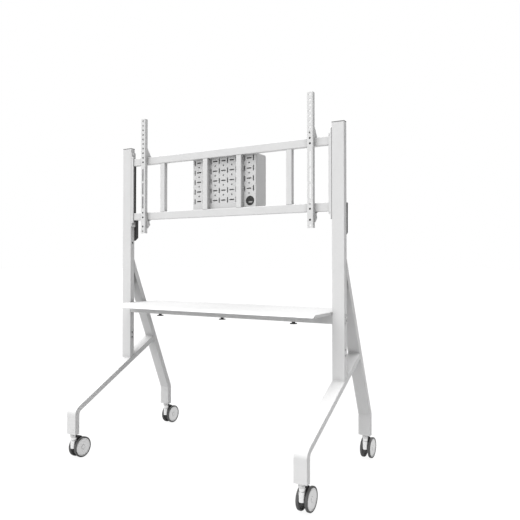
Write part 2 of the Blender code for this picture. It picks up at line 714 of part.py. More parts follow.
def bracket_mesh():
    """A channel cut from one folded sheet, with holes and slots down its front."""
    outline = bracket_side()
    front = outline[0][0]
    middle = (BRACKET_TOP + BRACKET_BOTTOM) / 2
    height = BRACKET_TOP - BRACKET_BOTTOM
    hollow_depth = BRACKET_DEPTH + RAIL_DEPTH + 4 * HOOK_THICKNESS
    hollow = block(BRACKET_WIDTH - 2 * BRACKET_WALL, hollow_depth, 2 * height)
    hollow_y = front + BRACKET_WALL + hollow_depth / 2
    first = BRACKET_TOP - FIRST_HOLE_DROP
    hole = rod(HOLE_RADIUS, 4 * BRACKET_WALL, sides=8)
    holes = [(hole, "Y", (0.0, front + BRACKET_WALL / 2, first - row * HOLE_PITCH))
             for row in HOLE_ROWS]
    for start, end in SLOT_ROWS:
        length = (end - start) * HOLE_PITCH
        slot = sheet([rounded_rectangle(SLOT_WIDTH, length, SLOT_WIDTH / 2.2)], 4 * BRACKET_WALL)
        slot_middle = first - (start + end) / 2 * HOLE_PITCH
        holes.append((slot, "Y", (0.0, front + BRACKET_WALL / 2, slot_middle)))
    pin_hole = rod(LATCH_PIN_RADIUS + GAP, 2 * BRACKET_WIDTH)
    blank = joined([(sheet([outline], BRACKET_WIDTH), "X", (0.0, 0.0, 0.0))])
    return worked(blank, [("DIFFERENCE", hollow, "Z", (0.0, hollow_y, middle)),
                          ("DIFFERENCE", joined(holes), "Z", (0.0, 0.0, 0.0)),
                          ("DIFFERENCE", pin_hole, "X", (0.0, LATCH_PIN_Y, LATCH_PIN_HEIGHT))])


def latch_mesh():
    """A folded latch about its riveted pin: a cheek beside each flange, a hook behind."""
    reach = LATCH_PIN_DROP - RUNNING
    back = RAIL_BACK_Y + GAP - LATCH_PIN_Y
    outer = back + LATCH_WALL
    top = LATCH_PIN_DROP + LATCH_HOOK
    start = math.pi / 2
    rounded = arc((0.0, 0.0), reach, start, start + math.radians(75), 4)
    outline = [(back, reach), *rounded, (-reach * 0.7, -LATCH_FOOT), (outer, -reach / 3),
               (outer, top), (back, top)]
    inner = BRACKET_WIDTH / 2 + RUNNING
    width = 2 * (inner + LATCH_WALL)
    blank = joined([(sheet([outline], width), "X", (0.0, 0.0, 0.0))])
    hollow_depth = 2 * (back + reach)
    hollow = block(2 * inner, hollow_depth, 4 * top)
    pin = rod(LATCH_PIN_RADIUS, width + 2 * LATCH_PIN_HEAD_HEIGHT)
    head = rod(LATCH_PIN_HEAD, LATCH_PIN_HEAD_HEIGHT + LATCH_WALL / 2)
    head_x = (width + LATCH_PIN_HEAD_HEIGHT) / 2 - LATCH_WALL / 4
    return worked(blank, [("DIFFERENCE", hollow, "Z", (0.0, back - hollow_depth / 2, 0.0)),
                          ("UNION", pin, "X", (0.0, 0.0, 0.0)),
                          ("UNION", head, "X", (head_x, 0.0, 0.0)),
                          ("UNION", head, "X", (-head_x, 0.0, 0.0))])


def make_brackets(lift):
    """Two screen brackets on the rails, each with its latch."""
    bracket = bracket_mesh()
    latch = latch_mesh()
    for side, sign in SIDES:
        x = sign * (INNER_X - BRACKET_INSET)
        hinge = (x, COLUMN_Y + LATCH_PIN_Y, LATCH_PIN_HEIGHT)
        slide = pivot("bracket_slide_" + side, (x, COLUMN_Y, TOP_RAIL), lift)
        swing = pivot("latch_swing_" + side, hinge, slide)
        carry(slide, [part("screen_bracket_" + side, bracket.copy(), WHITE_PAINT,
                           at=(x, COLUMN_Y, 0.0))])
        carry(swing, [part("bracket_latch_" + side, latch.copy(), WHITE_PAINT, at=hinge)])


# Box for a media player

BOX_TOP = TOP_RAIL_UNDER + BOX_LAP
BOX_BOTTOM = BOTTOM_RAIL_OVER - BOX_LAP
BOX_HEIGHT = BOX_TOP - BOX_BOTTOM
BOX_MIDDLE = (BOX_TOP + BOX_BOTTOM) / 2
BOX_FRONT = COLUMN_Y + RAIL_BACK_Y + GAP
BOX_BACK = BOX_FRONT + BOX_DEPTH
GROMMET_X = BOX_WIDTH / 2 - GROMMET_INSET
GROMMET_V = GROMMET_RISE - BOX_HEIGHT / 2


def make_box_front(lift):
    """The perforated panel behind the rails; its pattern leaves out what meets the grommet."""
    pattern_width = BOX_WIDTH - DASH_WIDTH - 2 * DASH_MARGIN
    pattern_height = BOX_HEIGHT - DASH_TOP_DROP - DASH_LENGTH / 2 - DASH_MARGIN
    columns = int(pattern_width / DASH_PITCH)
    rows = int(pattern_height / DASH_ROW_PITCH) + 1
    top_row = BOX_HEIGHT / 2 - DASH_TOP_DROP
    holes = []
    for row in range(rows):
        v = top_row - row * DASH_ROW_PITCH
        for column in range(columns + 1):
            edge = (column - columns / 2) * DASH_PITCH
            x = edge + DASH_PITCH / 2
            holes.append((edge, v, DASH_LENGTH / 2, rectangle(DASH_WIDTH, DASH_LENGTH, (edge, v))))
            if column < columns:
                holes.append((x, v, DASH_LENGTH / 2, rectangle(DASH_LENGTH, DASH_WIDTH, (x, v))))
            if column < columns and row < rows - 1:
                dot = ring(DOT_RADIUS, 6, (x, v - DOT_BELOW_ROW))
                holes.append((x, v - DOT_BELOW_ROW, DOT_RADIUS, dot))
    loops = [rectangle(BOX_WIDTH, BOX_HEIGHT)]
    for x, v, reach, loop in holes:
        if math.hypot(x - GROMMET_X, v - GROMMET_V) > GROMMET_RADIUS + reach:
            loops.append(loop)
    loops.append(ring(GROMMET_HOLE, WHEEL_SEGMENTS, (GROMMET_X, GROMMET_V)))
    panel = part("box_front_panel", sheet(loops, BOX_WALL), WHITE_PAINT, "Y",
                 (BOX_CENTRE_X, BOX_FRONT + BOX_WALL / 2, BOX_MIDDLE))
    carry(lift, [panel])


def make_grommet(lift):
    """A snap-in cable grommet in the panel, with a slot that cables pass through."""
    flange = GROMMET_FLANGE
    sleeve = GROMMET_HOLE - GAP
    depth = 4 * BOX_WALL
    grommet = turned([(0.0, flange), (GROMMET_RADIUS, flange), (GROMMET_RADIUS, 0.0),
                      (sleeve, 0.0), (sleeve, -depth), (0.0, -depth)], WHEEL_SEGMENTS)
    slot = block(1.4 * GROMMET_HOLE, GROMMET_SLOT, 4 * depth)
    grommet = worked(grommet, [("DIFFERENCE", slot, "Z", (0.0, -GROMMET_HOLE / 3, 0.0))])
    at = (BOX_CENTRE_X + GROMMET_X, BOX_FRONT - GAP, BOX_MIDDLE + GROMMET_V)
    carry(lift, [part("cable_grommet", grommet, BLACK_PLASTIC, "Y", at)])


def hinge_heights():
    """Middle heights of the door's two hinges."""
    half = (BOX_HEIGHT - 2 * DOOR_FRAME) / 2 - HINGE_INSET - 1.5 * HINGE_LENGTH
    return (-half, half)


def folded_block(width, depth, height, radius):
    """A block whose upper rear edge is rounded."""
    mesh = block(width, depth, height)
    work = bmesh.new()
    work.from_mesh(mesh)
    edge = [e for e in work.edges if all(v.co.y > 0 and v.co.z > 0 for v in e.verts)]
    bmesh.ops.bevel(work, geom=edge, offset=radius, segments=4, profile=0.5, affect="EDGES")
    work.to_mesh(mesh)
    work.free()
    return mesh


def make_box_casing(lift):
    """The box's folded shell: four walls and a rim at the rear round the door."""
    depth = BOX_DEPTH - BOX_WALL - GAP
    shell = folded_block(BOX_WIDTH, depth, BOX_HEIGHT, BOX_EDGE)
    inside = folded_block(BOX_WIDTH - 2 * BOX_WALL, depth, BOX_HEIGHT - 2 * BOX_WALL,
                          BOX_EDGE - BOX_WALL)
    rear_hole = block(BOX_WIDTH - 2 * DOOR_FRAME, 4 * BOX_WALL, BOX_HEIGHT - 2 * DOOR_FRAME)
    hinge_x = -(BOX_WIDTH / 2 - DOOR_FRAME)
    hinge_y = depth / 2 + HINGE_RADIUS
    knuckle = rod(HINGE_RADIUS, HINGE_LENGTH)
    leaf = block(2 * HINGE_RADIUS, HINGE_RADIUS, HINGE_LENGTH)
    tools = [("DIFFERENCE", inside, "Z", (0.0, -BOX_WALL, 0.0)),
             ("DIFFERENCE", rear_hole, "Z", (0.0, depth / 2, 0.0))]
    for height in hinge_heights():
        for step in (-1, 1):
            at = (hinge_x, hinge_y, height + step * (HINGE_LENGTH + GAP))
            beside = (hinge_x - HINGE_RADIUS, depth / 2 + HINGE_RADIUS / 2 - GAP, at[2])
            tools += [("UNION", leaf, "Z", beside), ("UNION", knuckle, "Z", at)]
    casing = worked(shell, tools)
    carry(lift, [part("box_casing", casing, WHITE_PAINT,
                      at=(BOX_CENTRE_X, BOX_BACK - depth / 2, BOX_MIDDLE))])


def make_box_door(lift):
    """The door in the rear of the box, on two hinges, with a cam lock."""
    width = BOX_WIDTH - 2 * DOOR_FRAME - 2 * RUNNING
    height = BOX_HEIGHT - 2 * DOOR_FRAME - 2 * RUNNING
    hinge_x = -(BOX_WIDTH / 2 - DOOR_FRAME)
    hinge_y = HINGE_RADIUS + BOX_WALL / 2
    knuckle = rod(HINGE_RADIUS, HINGE_LENGTH)
    leaf = block(2 * HINGE_RADIUS, HINGE_RADIUS, HINGE_LENGTH)
    lock_at = (width / 2 - LOCK_INSET, 0.0, 0.0)
    tools = [("DIFFERENCE", rod(LOCK_RADIUS * 0.8 + GAP, 8 * BOX_WALL), "Y", lock_at)]
    for at in hinge_heights():
        beside = (hinge_x + HINGE_RADIUS, BOX_WALL / 2 + HINGE_RADIUS / 2 - GAP, at)
        tools += [("UNION", leaf, "Z", beside), ("UNION", knuckle, "Z", (hinge_x, hinge_y, at))]
    door = worked(block(width, BOX_WALL, height), tools)
    middle_y = BOX_BACK - BOX_WALL / 2
    swing = pivot("door_swing", (BOX_CENTRE_X + hinge_x, middle_y + hinge_y, BOX_MIDDLE), lift)
    lock = turned([(0.0, LOCK_FACE), (LOCK_RADIUS, LOCK_FACE), (LOCK_RADIUS, 0.0),
                   (LOCK_RADIUS * 0.8, 0.0), (LOCK_RADIUS * 0.8, -LOCK_DEPTH),
                   (0.0, -LOCK_DEPTH)], PIN_SEGMENTS)
    lock_place = (BOX_CENTRE_X + lock_at[0], BOX_BACK + GAP, BOX_MIDDLE)
    carry(swing, [part("box_door", door, WHITE_PAINT, at=(BOX_CENTRE_X, middle_y, BOX_MIDDLE)),
                  part("door_lock", lock, BRIGHT_STEEL, "-Y", lock_place)])


# Shelf

def make_shelf():
    """A folded tray on a cross beam between the columns, with its bolts and knobs."""
    lift = pivot("shelf_lift", (0.0, COLUMN_Y, SHELF_TOP))
    half = INNER_X - GAP
    wall = SHELF_WALL
    lip = SHELF_LIP_DROP
    run = SHELF_FOLD_Y - SHELF_LIP_Y
    tilt = math.atan2(lip, run)
    inset = wall * math.tan(tilt / 2)
    drop = wall / math.cos(tilt)
    section = [(SHELF_FOLD_Y, 0.0), (SHELF_LIP_Y, -lip), (SHELF_LIP_Y, -lip - drop),
               (SHELF_FOLD_Y + inset, -wall), (SHELF_BACK_Y - wall, -wall),
               (SHELF_BACK_Y - wall, -SHELF_RIM), (SHELF_BACK_Y, -SHELF_RIM),
               (SHELF_BACK_Y, 0.0)]
    tray = joined([(sheet([section], 2 * half), "X", (0.0, 0.0, 0.0))])
    rim = block(wall, SHELF_BACK_Y - SHELF_FOLD_Y - wall / 2, SHELF_RIM - wall / 2)
    rim_y = (SHELF_BACK_Y - wall / 2 + SHELF_FOLD_Y) / 2
    rim_z = -(SHELF_RIM + wall / 2) / 2
    rims = [("UNION", rim, "Z", (sign * (half - wall / 2), rim_y, rim_z)) for _, sign in SIDES]
    # The beam passes through a notch in each end rim
    notch = block(2 * COLUMN_SPACING, BEAM_DEPTH + 2 * GAP, SHELF_RIM)
    tray = worked(tray, rims + [("DIFFERENCE", notch, "Z", (0.0, 0.0, -wall - SHELF_RIM / 2))])
    beam_top = SHELF_TOP - wall - GAP
    beam_middle = beam_top - BEAM_HEIGHT / 2
    beam_under = beam_top - BEAM_HEIGHT
    stud_hole = rod(BOLT_RADIUS + GAP, 3 * KNOB_STUD)
    beam = sheet(tube_section(BEAM_DEPTH, BEAM_HEIGHT), 2 * half)
    beam = joined([(beam, "X", (0.0, 0.0, 0.0))])
    holes = [("DIFFERENCE", stud_hole, "Z", (x, 0.0, -BEAM_HEIGHT / 2)) for x in KNOB_PLACES]
    beam = worked(beam, holes)
    knob = turned([(0.0, KNOB_STUD), (BOLT_RADIUS, KNOB_STUD), (BOLT_RADIUS, 0.0),
                   (KNOB_NECK_RADIUS, 0.0), (KNOB_NECK_RADIUS, KNOB_DISC - KNOB_HEIGHT),
                   (KNOB_RADIUS, KNOB_DISC - KNOB_HEIGHT), (KNOB_RADIUS, -KNOB_HEIGHT),
                   (0.0, -KNOB_HEIGHT)], PIN_SEGMENTS)
    pieces = [part("shelf_tray", tray, WHITE_PAINT, at=(0.0, COLUMN_Y, SHELF_TOP)),
              part("shelf_beam", beam, WHITE_PAINT, at=(0.0, COLUMN_Y, beam_middle))]
    for number, x in enumerate(KNOB_PLACES, start=1):
        pieces.append(part(f"shelf_knob_{number}", knob.copy(), BLACK_PLASTIC,
                           at=(x, COLUMN_Y, beam_under - GAP)))
    head = button_bolt(SHELF_HEAD_RADIUS, BOLT_RADIUS, 0.0)
    for side, sign in SIDES:
        outward = "X" if sign > 0 else "-X"
        for level, drop_at in zip(("upper", "lower"), SHELF_BOLT_DROPS):
            at = (sign * (OUTER_X + GAP), COLUMN_Y, SHELF_TOP - drop_at)
            pieces.append(part(f"shelf_bolt_{level}_{side}", head.copy(), BRIGHT_STEEL,
                               outward, at))
    carry(lift, pieces)


# Casters

AXLE_HEIGHT = WHEEL_RADIUS
WHEEL_INNER = CASTER_WIDTH / 2 - WHEEL_WIDTH
POST_TOP = FOOT_BOTTOM - GAP


def wheel_mesh():
    """A wheel along Z from its inner to its outer face: tyre, core and a blind bore."""
    rim = WHEEL_RADIUS - TYRE_THICKNESS
    bore = AXLE_RADIUS + GAP
    depth = AXLE_DEPTH + GAP
    face = WHEEL_WIDTH - HUB_DISH
    boss = 2.5 * AXLE_RADIUS
    recess = WHEEL_WIDTH - HUB_WEB - HUB_DISH
    shoulder = TYRE_SHOULDER
    edge = WHEEL_RADIUS - shoulder
    outer = arc((edge, WHEEL_WIDTH - shoulder), shoulder, math.pi / 2, 0.0, 2)
    inner = arc((edge, shoulder), shoulder, 0.0, -math.pi / 2, 2)
    return turned([(0.0, face), (rim - HUB_DISH, face), (rim, WHEEL_WIDTH), *outer, *inner,
                   (rim - 2 * HUB_DISH, 0.0), (rim - 2 * HUB_DISH, recess), (boss, recess),
                   (boss, 0.0), (bore, 0.0), (bore, depth), (0.0, depth)], WHEEL_SEGMENTS)


def yoke_mesh():
    """The post, the arm behind it, the axle and the pedal's pin, about the stem's axis."""
    collar_under = POST_TOP - COLLAR_HEIGHT
    bore = STEM_RADIUS + GAP
    bore_end = FOOT_BOTTOM - STEM_BELOW - GAP
    post = turned([(bore, POST_TOP), (COLLAR_RADIUS, POST_TOP), (COLLAR_RADIUS, collar_under),
                   (POST_RADIUS, collar_under - (COLLAR_RADIUS - POST_RADIUS)),
                   (POST_RADIUS, POST_BOTTOM + 2 * GAP), (POST_RADIUS * 0.85, POST_BOTTOM),
                   (0.0, POST_BOTTOM), (0.0, bore_end), (bore, bore_end)], PIN_SEGMENTS)
    pivot_y, pivot_z = PEDAL_PIVOT
    low = POST_BOTTOM + 4 * GAP
    arm = [(0.0, low), (CASTER_TRAIL, AXLE_HEIGHT - BOSS_RADIUS * 0.9),
           (CASTER_TRAIL + BOSS_RADIUS * 0.7, AXLE_HEIGHT + BOSS_RADIUS * 0.7),
           (pivot_y + 2.5 * PEDAL_PIN_RADIUS, pivot_z + 2 * PEDAL_PIN_RADIUS),
           (pivot_y - 2.5 * PEDAL_PIN_RADIUS, pivot_z + 2 * PEDAL_PIN_RADIUS),
           (0.0, pivot_z + 2 * PEDAL_PIN_RADIUS)]
    arm_mesh = sheet([arm], ARM_WIDTH)
    boss = rod(BOSS_RADIUS, 2 * (WHEEL_INNER - GAP))
    axle = rod(AXLE_RADIUS, 2 * (WHEEL_INNER + AXLE_DEPTH), sides=WHEEL_SEGMENTS)
    pin = rod(PEDAL_PIN_RADIUS, 2 * (WHEEL_INNER - RUNNING))
    axle_at = (0.0, CASTER_TRAIL, AXLE_HEIGHT)
    return worked(post, [("UNION", arm_mesh, "X", (0.0, 0.0, 0.0)),
                         ("UNION", boss, "X", axle_at),
                         ("UNION", axle, "X", axle_at),
                         ("UNION", pin, "X", (0.0, pivot_y, pivot_z))])


def pedal_mesh():
    """The brake pedal about its own pin: a sloping plate on two cheeks."""
    pivot_y, pivot_z = PEDAL_PIVOT
    half = WHEEL_INNER - RUNNING
    front = COLLAR_RADIUS + 2 * RUNNING - pivot_y
    back = PEDAL_BACK - pivot_y
    front_top = FOOT_BOTTOM - PEDAL_FRONT_DROP - pivot_z
    back_top = FOOT_BOTTOM - PEDAL_BACK_DROP - pivot_z
    below = 2.2 * PEDAL_PIN_RADIUS
    outline = [(front, front_top), (front, front_top - 2.5 * PEDAL_THICKNESS),
               (-below, -below), (below, -below), (back, back_top - PEDAL_THICKNESS),
               (back, back_top)]
    blank = joined([(sheet([outline], 2 * half), "X", (0.0, 0.0, 0.0))])
    tall = 4 * front_top
    slope = math.atan2(front_top - back_top, back - front)
    hollow = block(2 * (half - PEDAL_CHEEK), 4 * back, tall)
    hollow.transform(Matrix.Rotation(-slope, 4, "X"))
    down = tall / 2 + PEDAL_THICKNESS
    hollow_at = (0.0, front - down * math.sin(slope), front_top - down * math.cos(slope))
    hole = rod(PEDAL_PIN_RADIUS + GAP, 4 * half)
    return worked(blank, [("DIFFERENCE", hollow, "Z", hollow_at),
                          ("DIFFERENCE", hole, "X", (0.0, 0.0, 0.0))])


def make_casters():
    """Four twin-wheel casters, each turning on a stem in its leg's plug."""
    yoke = yoke_mesh()
    pedal = pedal_mesh()
    wheel = wheel_mesh()
    pivot_y, pivot_z = PEDAL_PIVOT
    for corner, (x, y) in caster_places():
        swivel = pivot("swivel_" + corner, (x, y, FOOT_BOTTOM))
        axle = (x, y + CASTER_TRAIL, AXLE_HEIGHT)
        hinge = (x, y + pivot_y, pivot_z)
        carry(swivel, [part("caster_yoke_" + corner, yoke.copy(), PALE_METAL, at=(x, y, 0.0))])
        press = pivot("pedal_press_" + corner, hinge, swivel)
        carry(press, [part("brake_pedal_" + corner, pedal.copy(), BLACK_PLASTIC, at=hinge)])
        for side, sign in SIDES:
            outward = "X" if sign > 0 else "-X"
            inner_face = (x + sign * WHEEL_INNER, axle[1], axle[2])
            spin = pivot(f"spin_{corner}_{side}", axle, swivel)
            carry(spin, [part(f"wheel_{corner}_{side}", wheel.copy(), GREY_TYRE, outward,
                              inner_face)])


make_columns()
make_column_caps()
make_legs()
make_foot_plugs()
FRAME_SLIDE = pivot("frame_lift", (0.0, COLUMN_Y, TOP_RAIL))
make_rail_frame(FRAME_SLIDE)
make_carriages(FRAME_SLIDE)
make_frame_bolts(FRAME_SLIDE)
make_brackets(FRAME_SLIDE)
make_box_front(FRAME_SLIDE)
make_grommet(FRAME_SLIDE)
make_box_casing(FRAME_SLIDE)
make_box_door(FRAME_SLIDE)
make_shelf()
make_casters()
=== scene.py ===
import math

import bmesh
import bpy
from mathutils import Matrix, Vector


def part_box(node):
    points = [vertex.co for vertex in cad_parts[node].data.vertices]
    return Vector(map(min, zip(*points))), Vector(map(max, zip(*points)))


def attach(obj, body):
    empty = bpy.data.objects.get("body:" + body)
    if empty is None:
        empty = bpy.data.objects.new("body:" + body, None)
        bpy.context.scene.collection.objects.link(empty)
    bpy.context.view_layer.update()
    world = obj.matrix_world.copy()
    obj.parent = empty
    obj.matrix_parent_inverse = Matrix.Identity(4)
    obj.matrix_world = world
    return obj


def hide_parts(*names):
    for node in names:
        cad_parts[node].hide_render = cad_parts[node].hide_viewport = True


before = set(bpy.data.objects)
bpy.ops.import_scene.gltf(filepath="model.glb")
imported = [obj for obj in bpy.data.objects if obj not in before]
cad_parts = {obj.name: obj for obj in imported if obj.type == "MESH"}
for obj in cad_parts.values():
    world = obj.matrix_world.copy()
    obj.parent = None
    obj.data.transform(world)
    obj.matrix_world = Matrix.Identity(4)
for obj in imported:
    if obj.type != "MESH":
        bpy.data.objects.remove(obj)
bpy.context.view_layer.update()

# Columns
# Two upright steel tubes of 60 x 30 mm, powder coated white. Each is mitred onto its front
# leg, and drilled for the bolts of the rail frame and of the shelf at two heights each.

SIDES = (("left", -1), ("right", 1))
ROUGH_SPREAD = 0.06           # of a finish's roughness, either way from its own
THROWN_TONE = 0.4             # share of a finish's dull tone in the light that it throws
TUBE_WALL = 0.002
TUBE_CORNER = 0.003
FRONT_SLOPE = math.radians(27.3)
MITRE_RISE = math.tan(FRONT_SLOPE)
BOLT_HOLE = 0.0055
FRAME_BOLT_HEIGHTS = (1.1825, 1.5725)
FRAME_DROP = 0.100            # the frame's lower setting
SHELF_BOLT_HEIGHTS = (0.7365, 0.711)
SHELF_DROP = 0.150            # the shelf's lower setting
ONE_WALL = 0.02               # lengths of the drill that makes the holes
RIGHT_THROUGH = 0.1


def grey(value):
    return (value, value, value, 1.0)


def add(tree, kind, sockets=None, **settings):
    """A shader node with its settings, whose sockets take values or links."""
    made = tree.nodes.new("ShaderNode" + kind)
    for key, value in settings.items():
        setattr(made, key, value)
    for key, value in (sockets or {}).items():
        if isinstance(value, bpy.types.NodeSocket):
            tree.links.new(value, made.inputs[key])
        else:
            made.inputs[key].default_value = value
    return made


def start_group(name, takes, gives):
    """An empty shader node group, with its input and its output node."""
    group = bpy.data.node_groups.new(name, "ShaderNodeTree")
    for label, value in takes:
        socket = group.interface.new_socket(label, in_out="INPUT", socket_type="NodeSocketFloat")
        socket.default_value = value
    for label, kind in gives:
        group.interface.new_socket(label, in_out="OUTPUT", socket_type="NodeSocket" + kind)
    return group, group.nodes.new("NodeGroupInput"), group.nodes.new("NodeGroupOutput")


# The grain of a coat or of a mould, and the faint cloudiness of its tone
surface_grain, takes, gives = start_group("surface_grain", [("Size", 0.001), ("Cloud Size", 0.1)],
                                          [("Height", "Float"), ("Cloud", "Float")])
place = add(surface_grain, "TexCoord")
noises = []
for size, detail in (("Size", 2.0), ("Cloud Size", 4.0)):
    per_metre = add(surface_grain, "Math", {0: 1.0, 1: takes.outputs[size]}, operation="DIVIDE")
    noises.append(add(surface_grain, "TexNoise", {"Vector": place.outputs["Object"],
                                                  "Scale": per_metre.outputs[0],
                                                  "Detail": detail}).outputs[0])
fine, broad = noises
spread = add(surface_grain, "MapRange", {"Value": broad, "From Min": 0.35, "From Max": 0.65})
surface_grain.links.new(fine, gives.inputs["Height"])
surface_grain.links.new(spread.outputs["Result"], gives.inputs["Cloud"])

# Soft edges: a normal rounded over each edge, and a mask of where hands and tools rub
soft_edges, takes, gives = start_group("soft_edges", [("Radius", 0.001)],
                                       [("Normal", "Vector"), ("Edge", "Float")])
rounded = add(soft_edges, "Bevel", {"Radius": takes.outputs["Radius"]}, samples=4)
surface = add(soft_edges, "NewGeometry")
agreement = add(soft_edges, "VectorMath", {0: rounded.outputs["Normal"],
                                           1: surface.outputs["Normal"]},
                operation="DOT_PRODUCT")
turned_away = add(soft_edges, "MapRange", {"Value": agreement.outputs["Value"],
                                           "From Min": 0.995, "From Max": 0.8})
soft_edges.links.new(rounded.outputs["Normal"], gives.inputs["Normal"])
soft_edges.links.new(turned_away.outputs["Result"], gives.inputs["Edge"])

# Painted shade where surfaces meet: the colour darkens where a surface is sheltered, most in the
# corner itself
painted_corner_shade, takes, gives = start_group("painted_corner_shade", [("Reach", 0.04)], [("Shade", "Float")])
shelter = add(painted_corner_shade, "AmbientOcclusion", {"Distance": takes.outputs["Reach"]}, samples=6)
sheltered = add(painted_corner_shade, "MapRange", {"Value": shelter.outputs["AO"], "From Min": 0.97,
                                           "From Max": 0.20})
painted_corner_shade.links.new(sheltered.outputs["Result"], gives.inputs["Shade"])


def blend(tree, share, first, second):
    """The socket of a tone that goes from the first to the second as the share grows."""
    return add(tree, "Mix", {0: share, 6: first, 7: second}, data_type="RGBA").outputs[2]


def finish(name, pale, dull, rubbed, rough, grain, bump, metallic=0.0, edge=0.0008,
           corner_shade_tone=0.7, corner_shade_reach=0.03):
    """A coated or moulded surface: its tones, the tone of rubbed edges, and its grain.

    In its corners the colour is darkened towards a share of the dull tone, within a reach: painted
    shade. Light that the stand's own surfaces throw on each other is toned down, as in the
    photograph.
    """
    material = bpy.data.materials.new(name)
    material.use_nodes = True
    tree = material.node_tree
    shader = tree.nodes["Principled BSDF"]
    texture = add(tree, "Group", node_tree=surface_grain)
    texture.inputs["Size"].default_value = grain
    edges = add(tree, "Group", node_tree=soft_edges)
    edges.inputs["Radius"].default_value = edge
    cloudy = blend(tree, texture.outputs["Cloud"], grey(dull), grey(pale))
    patchy = add(tree, "Math", {0: edges.outputs["Edge"], 1: texture.outputs["Height"]},
                 operation="MULTIPLY")
    worn = blend(tree, patchy.outputs[0], cloudy, grey(rubbed))
    # Painted shade: the colour darkens in corners, as far as the group's reach
    corner_shade_node = add(tree, "Group", node_tree=painted_corner_shade)
    corner_shade_node.inputs["Reach"].default_value = corner_shade_reach
    corner_shaded = blend(tree, corner_shade_node.outputs["Shade"], worn, grey(dull * corner_shade_tone))
    sheen = add(tree, "MapRange", {"Value": texture.outputs["Height"], "From Min": 0.3,
                                   "From Max": 0.7, "To Min": rough - ROUGH_SPREAD,
                                   "To Max": rough + ROUGH_SPREAD})
    relief = add(tree, "Bump", {"Height": texture.outputs["Height"], "Strength": bump,
                                "Distance": grain / 4, "Normal": edges.outputs["Normal"]})
    path = add(tree, "LightPath")
    seen = blend(tree, path.outputs["Is Diffuse Ray"], corner_shaded, grey(dull * THROWN_TONE))
    tree.links.new(seen, shader.inputs["Base Color"])
    tree.links.new(sheen.outputs["Result"], shader.inputs["Roughness"])
    tree.links.new(relief.outputs["Normal"], shader.inputs["Normal"])
    shader.inputs["Metallic"].default_value = metallic
    return material


# In its corners the white coat darkens to half its dull tone: painted shade.
white_coat = finish("white_powder_coat", 0.88, 0.86, 0.78, rough=0.42, grain=0.0011, bump=0.16,
                    corner_shade_tone=0.5)


def close_up(work):
    """The finished mesh of a bmesh: doubles welded, faces turned outwards."""
    bmesh.ops.remove_doubles(work, verts=work.verts, dist=1e-6)
    bmesh.ops.recalc_face_normals(work, faces=work.faces)
    mesh = bpy.data.meshes.new("made")
    work.to_mesh(mesh)
    work.free()
    return mesh


def skin(rings, wrap=False, caps=False):
    """A surface through rings of equally many points, each ring joined to the next."""
    work = bmesh.new()
    loops = [[work.verts.new(point) for point in ring] for ring in rings]
    for near, far in zip(loops, loops[1:] + (loops[:1] if wrap else [])):
        for i, corner in enumerate(near):
            j = (i + 1) % len(near)
            work.faces.new((corner, near[j], far[j], far[i]))
    if caps:
        work.faces.new(loops[0])
        work.faces.new(loops[-1])
    return close_up(work)


def arc(centre, radius, start, end, steps):
    """Points of an arc between two angles in degrees, both ends included."""
    turns = [math.radians(start + (end - start) * i / steps) for i in range(steps + 1)]
    return [(centre[0] + radius * math.cos(a), centre[1] + radius * math.sin(a)) for a in turns]


def outline(width, depth, corner, steps=5):
    """A rectangle with round corners, about its own middle."""
    points = []
    for quarter, (right, up) in enumerate(((1, 1), (-1, 1), (-1, -1), (1, -1))):
        centre = (right * (width / 2 - corner), up * (depth / 2 - corner))
        points += arc(centre, corner, 90 * quarter, 90 * (quarter + 1), steps)
    return points


def pipe(width, depth, stations):
    """A rectangular tube; each station puts a point (u, v) of its section in the room."""
    outside = outline(width, depth, TUBE_CORNER)
    inside = outline(width - 2 * TUBE_WALL, depth - 2 * TUBE_WALL, TUBE_CORNER - TUBE_WALL)
    rings = [[put(u, v) for u, v in outside] for put in stations]
    rings += [[put(u, v) for u, v in inside] for put in reversed(stations)]
    return skin(rings, wrap=True)


def spun(profile, axis, at, sides=40, closed=False):
    """A turned piece: (radius, height) points spun about an axis through a place.

    A radius may also be a function of the angle, for edges that aren't round.
    """
    turn = Vector(axis).to_track_quat("Z", "Y").to_matrix()
    rings = []
    for radius, height in profile:
        ring = []
        for i in range(sides):
            angle = 2 * math.pi * i / sides
            reach = radius(angle) if callable(radius) else radius
            ring.append(Vector(at) + turn @ Vector((reach * math.cos(angle),
                                                    reach * math.sin(angle), height)))
        rings.append(ring)
    return skin(rings, wrap=closed)


def rod(radius, length, axis, at, sides=24):
    """A plain round bar about a place, for cutting holes and for pins."""
    half = length / 2
    return spun([(0.0, half), (radius, half), (radius, -half), (0.0, -half)], axis, at, sides)


def gathered(meshes):
    """One mesh that holds several."""
    work = bmesh.new()
    for mesh in meshes:
        work.from_mesh(mesh)
        bpy.data.meshes.remove(mesh)
    whole = bpy.data.meshes.new("gathered")
    work.to_mesh(whole)
    work.free()
    return whole


def as_modified(thing):
    """A new mesh of an object as its modifiers leave it; the object is dropped."""
    bpy.context.view_layer.update()
    graph = bpy.context.evaluated_depsgraph_get()
    mesh = bpy.data.meshes.new_from_object(thing.evaluated_get(graph))
    bpy.data.objects.remove(thing, do_unlink=True)
    return mesh


def worked(mesh, tool, operation):
    """The mesh after a tool's shape has been cut out of it or joined to it."""
    blank = bpy.data.objects.new("blank", mesh)
    helper = bpy.data.objects.new("tool", tool)
    for thing in (blank, helper):
        bpy.context.scene.collection.objects.link(thing)
    step = blank.modifiers.new("work", "BOOLEAN")
    step.operation = operation
    step.object = helper
    result = as_modified(blank)
    bpy.data.objects.remove(helper, do_unlink=True)
    work = bmesh.new()
    work.from_mesh(result)
    bpy.data.meshes.remove(result)
    return close_up(work)


def cut(mesh, *tools):
    """The mesh with the tools' shapes cut out of it, one after the other."""
    for tool in tools:
        mesh = worked(mesh, tool, "DIFFERENCE")
    return mesh


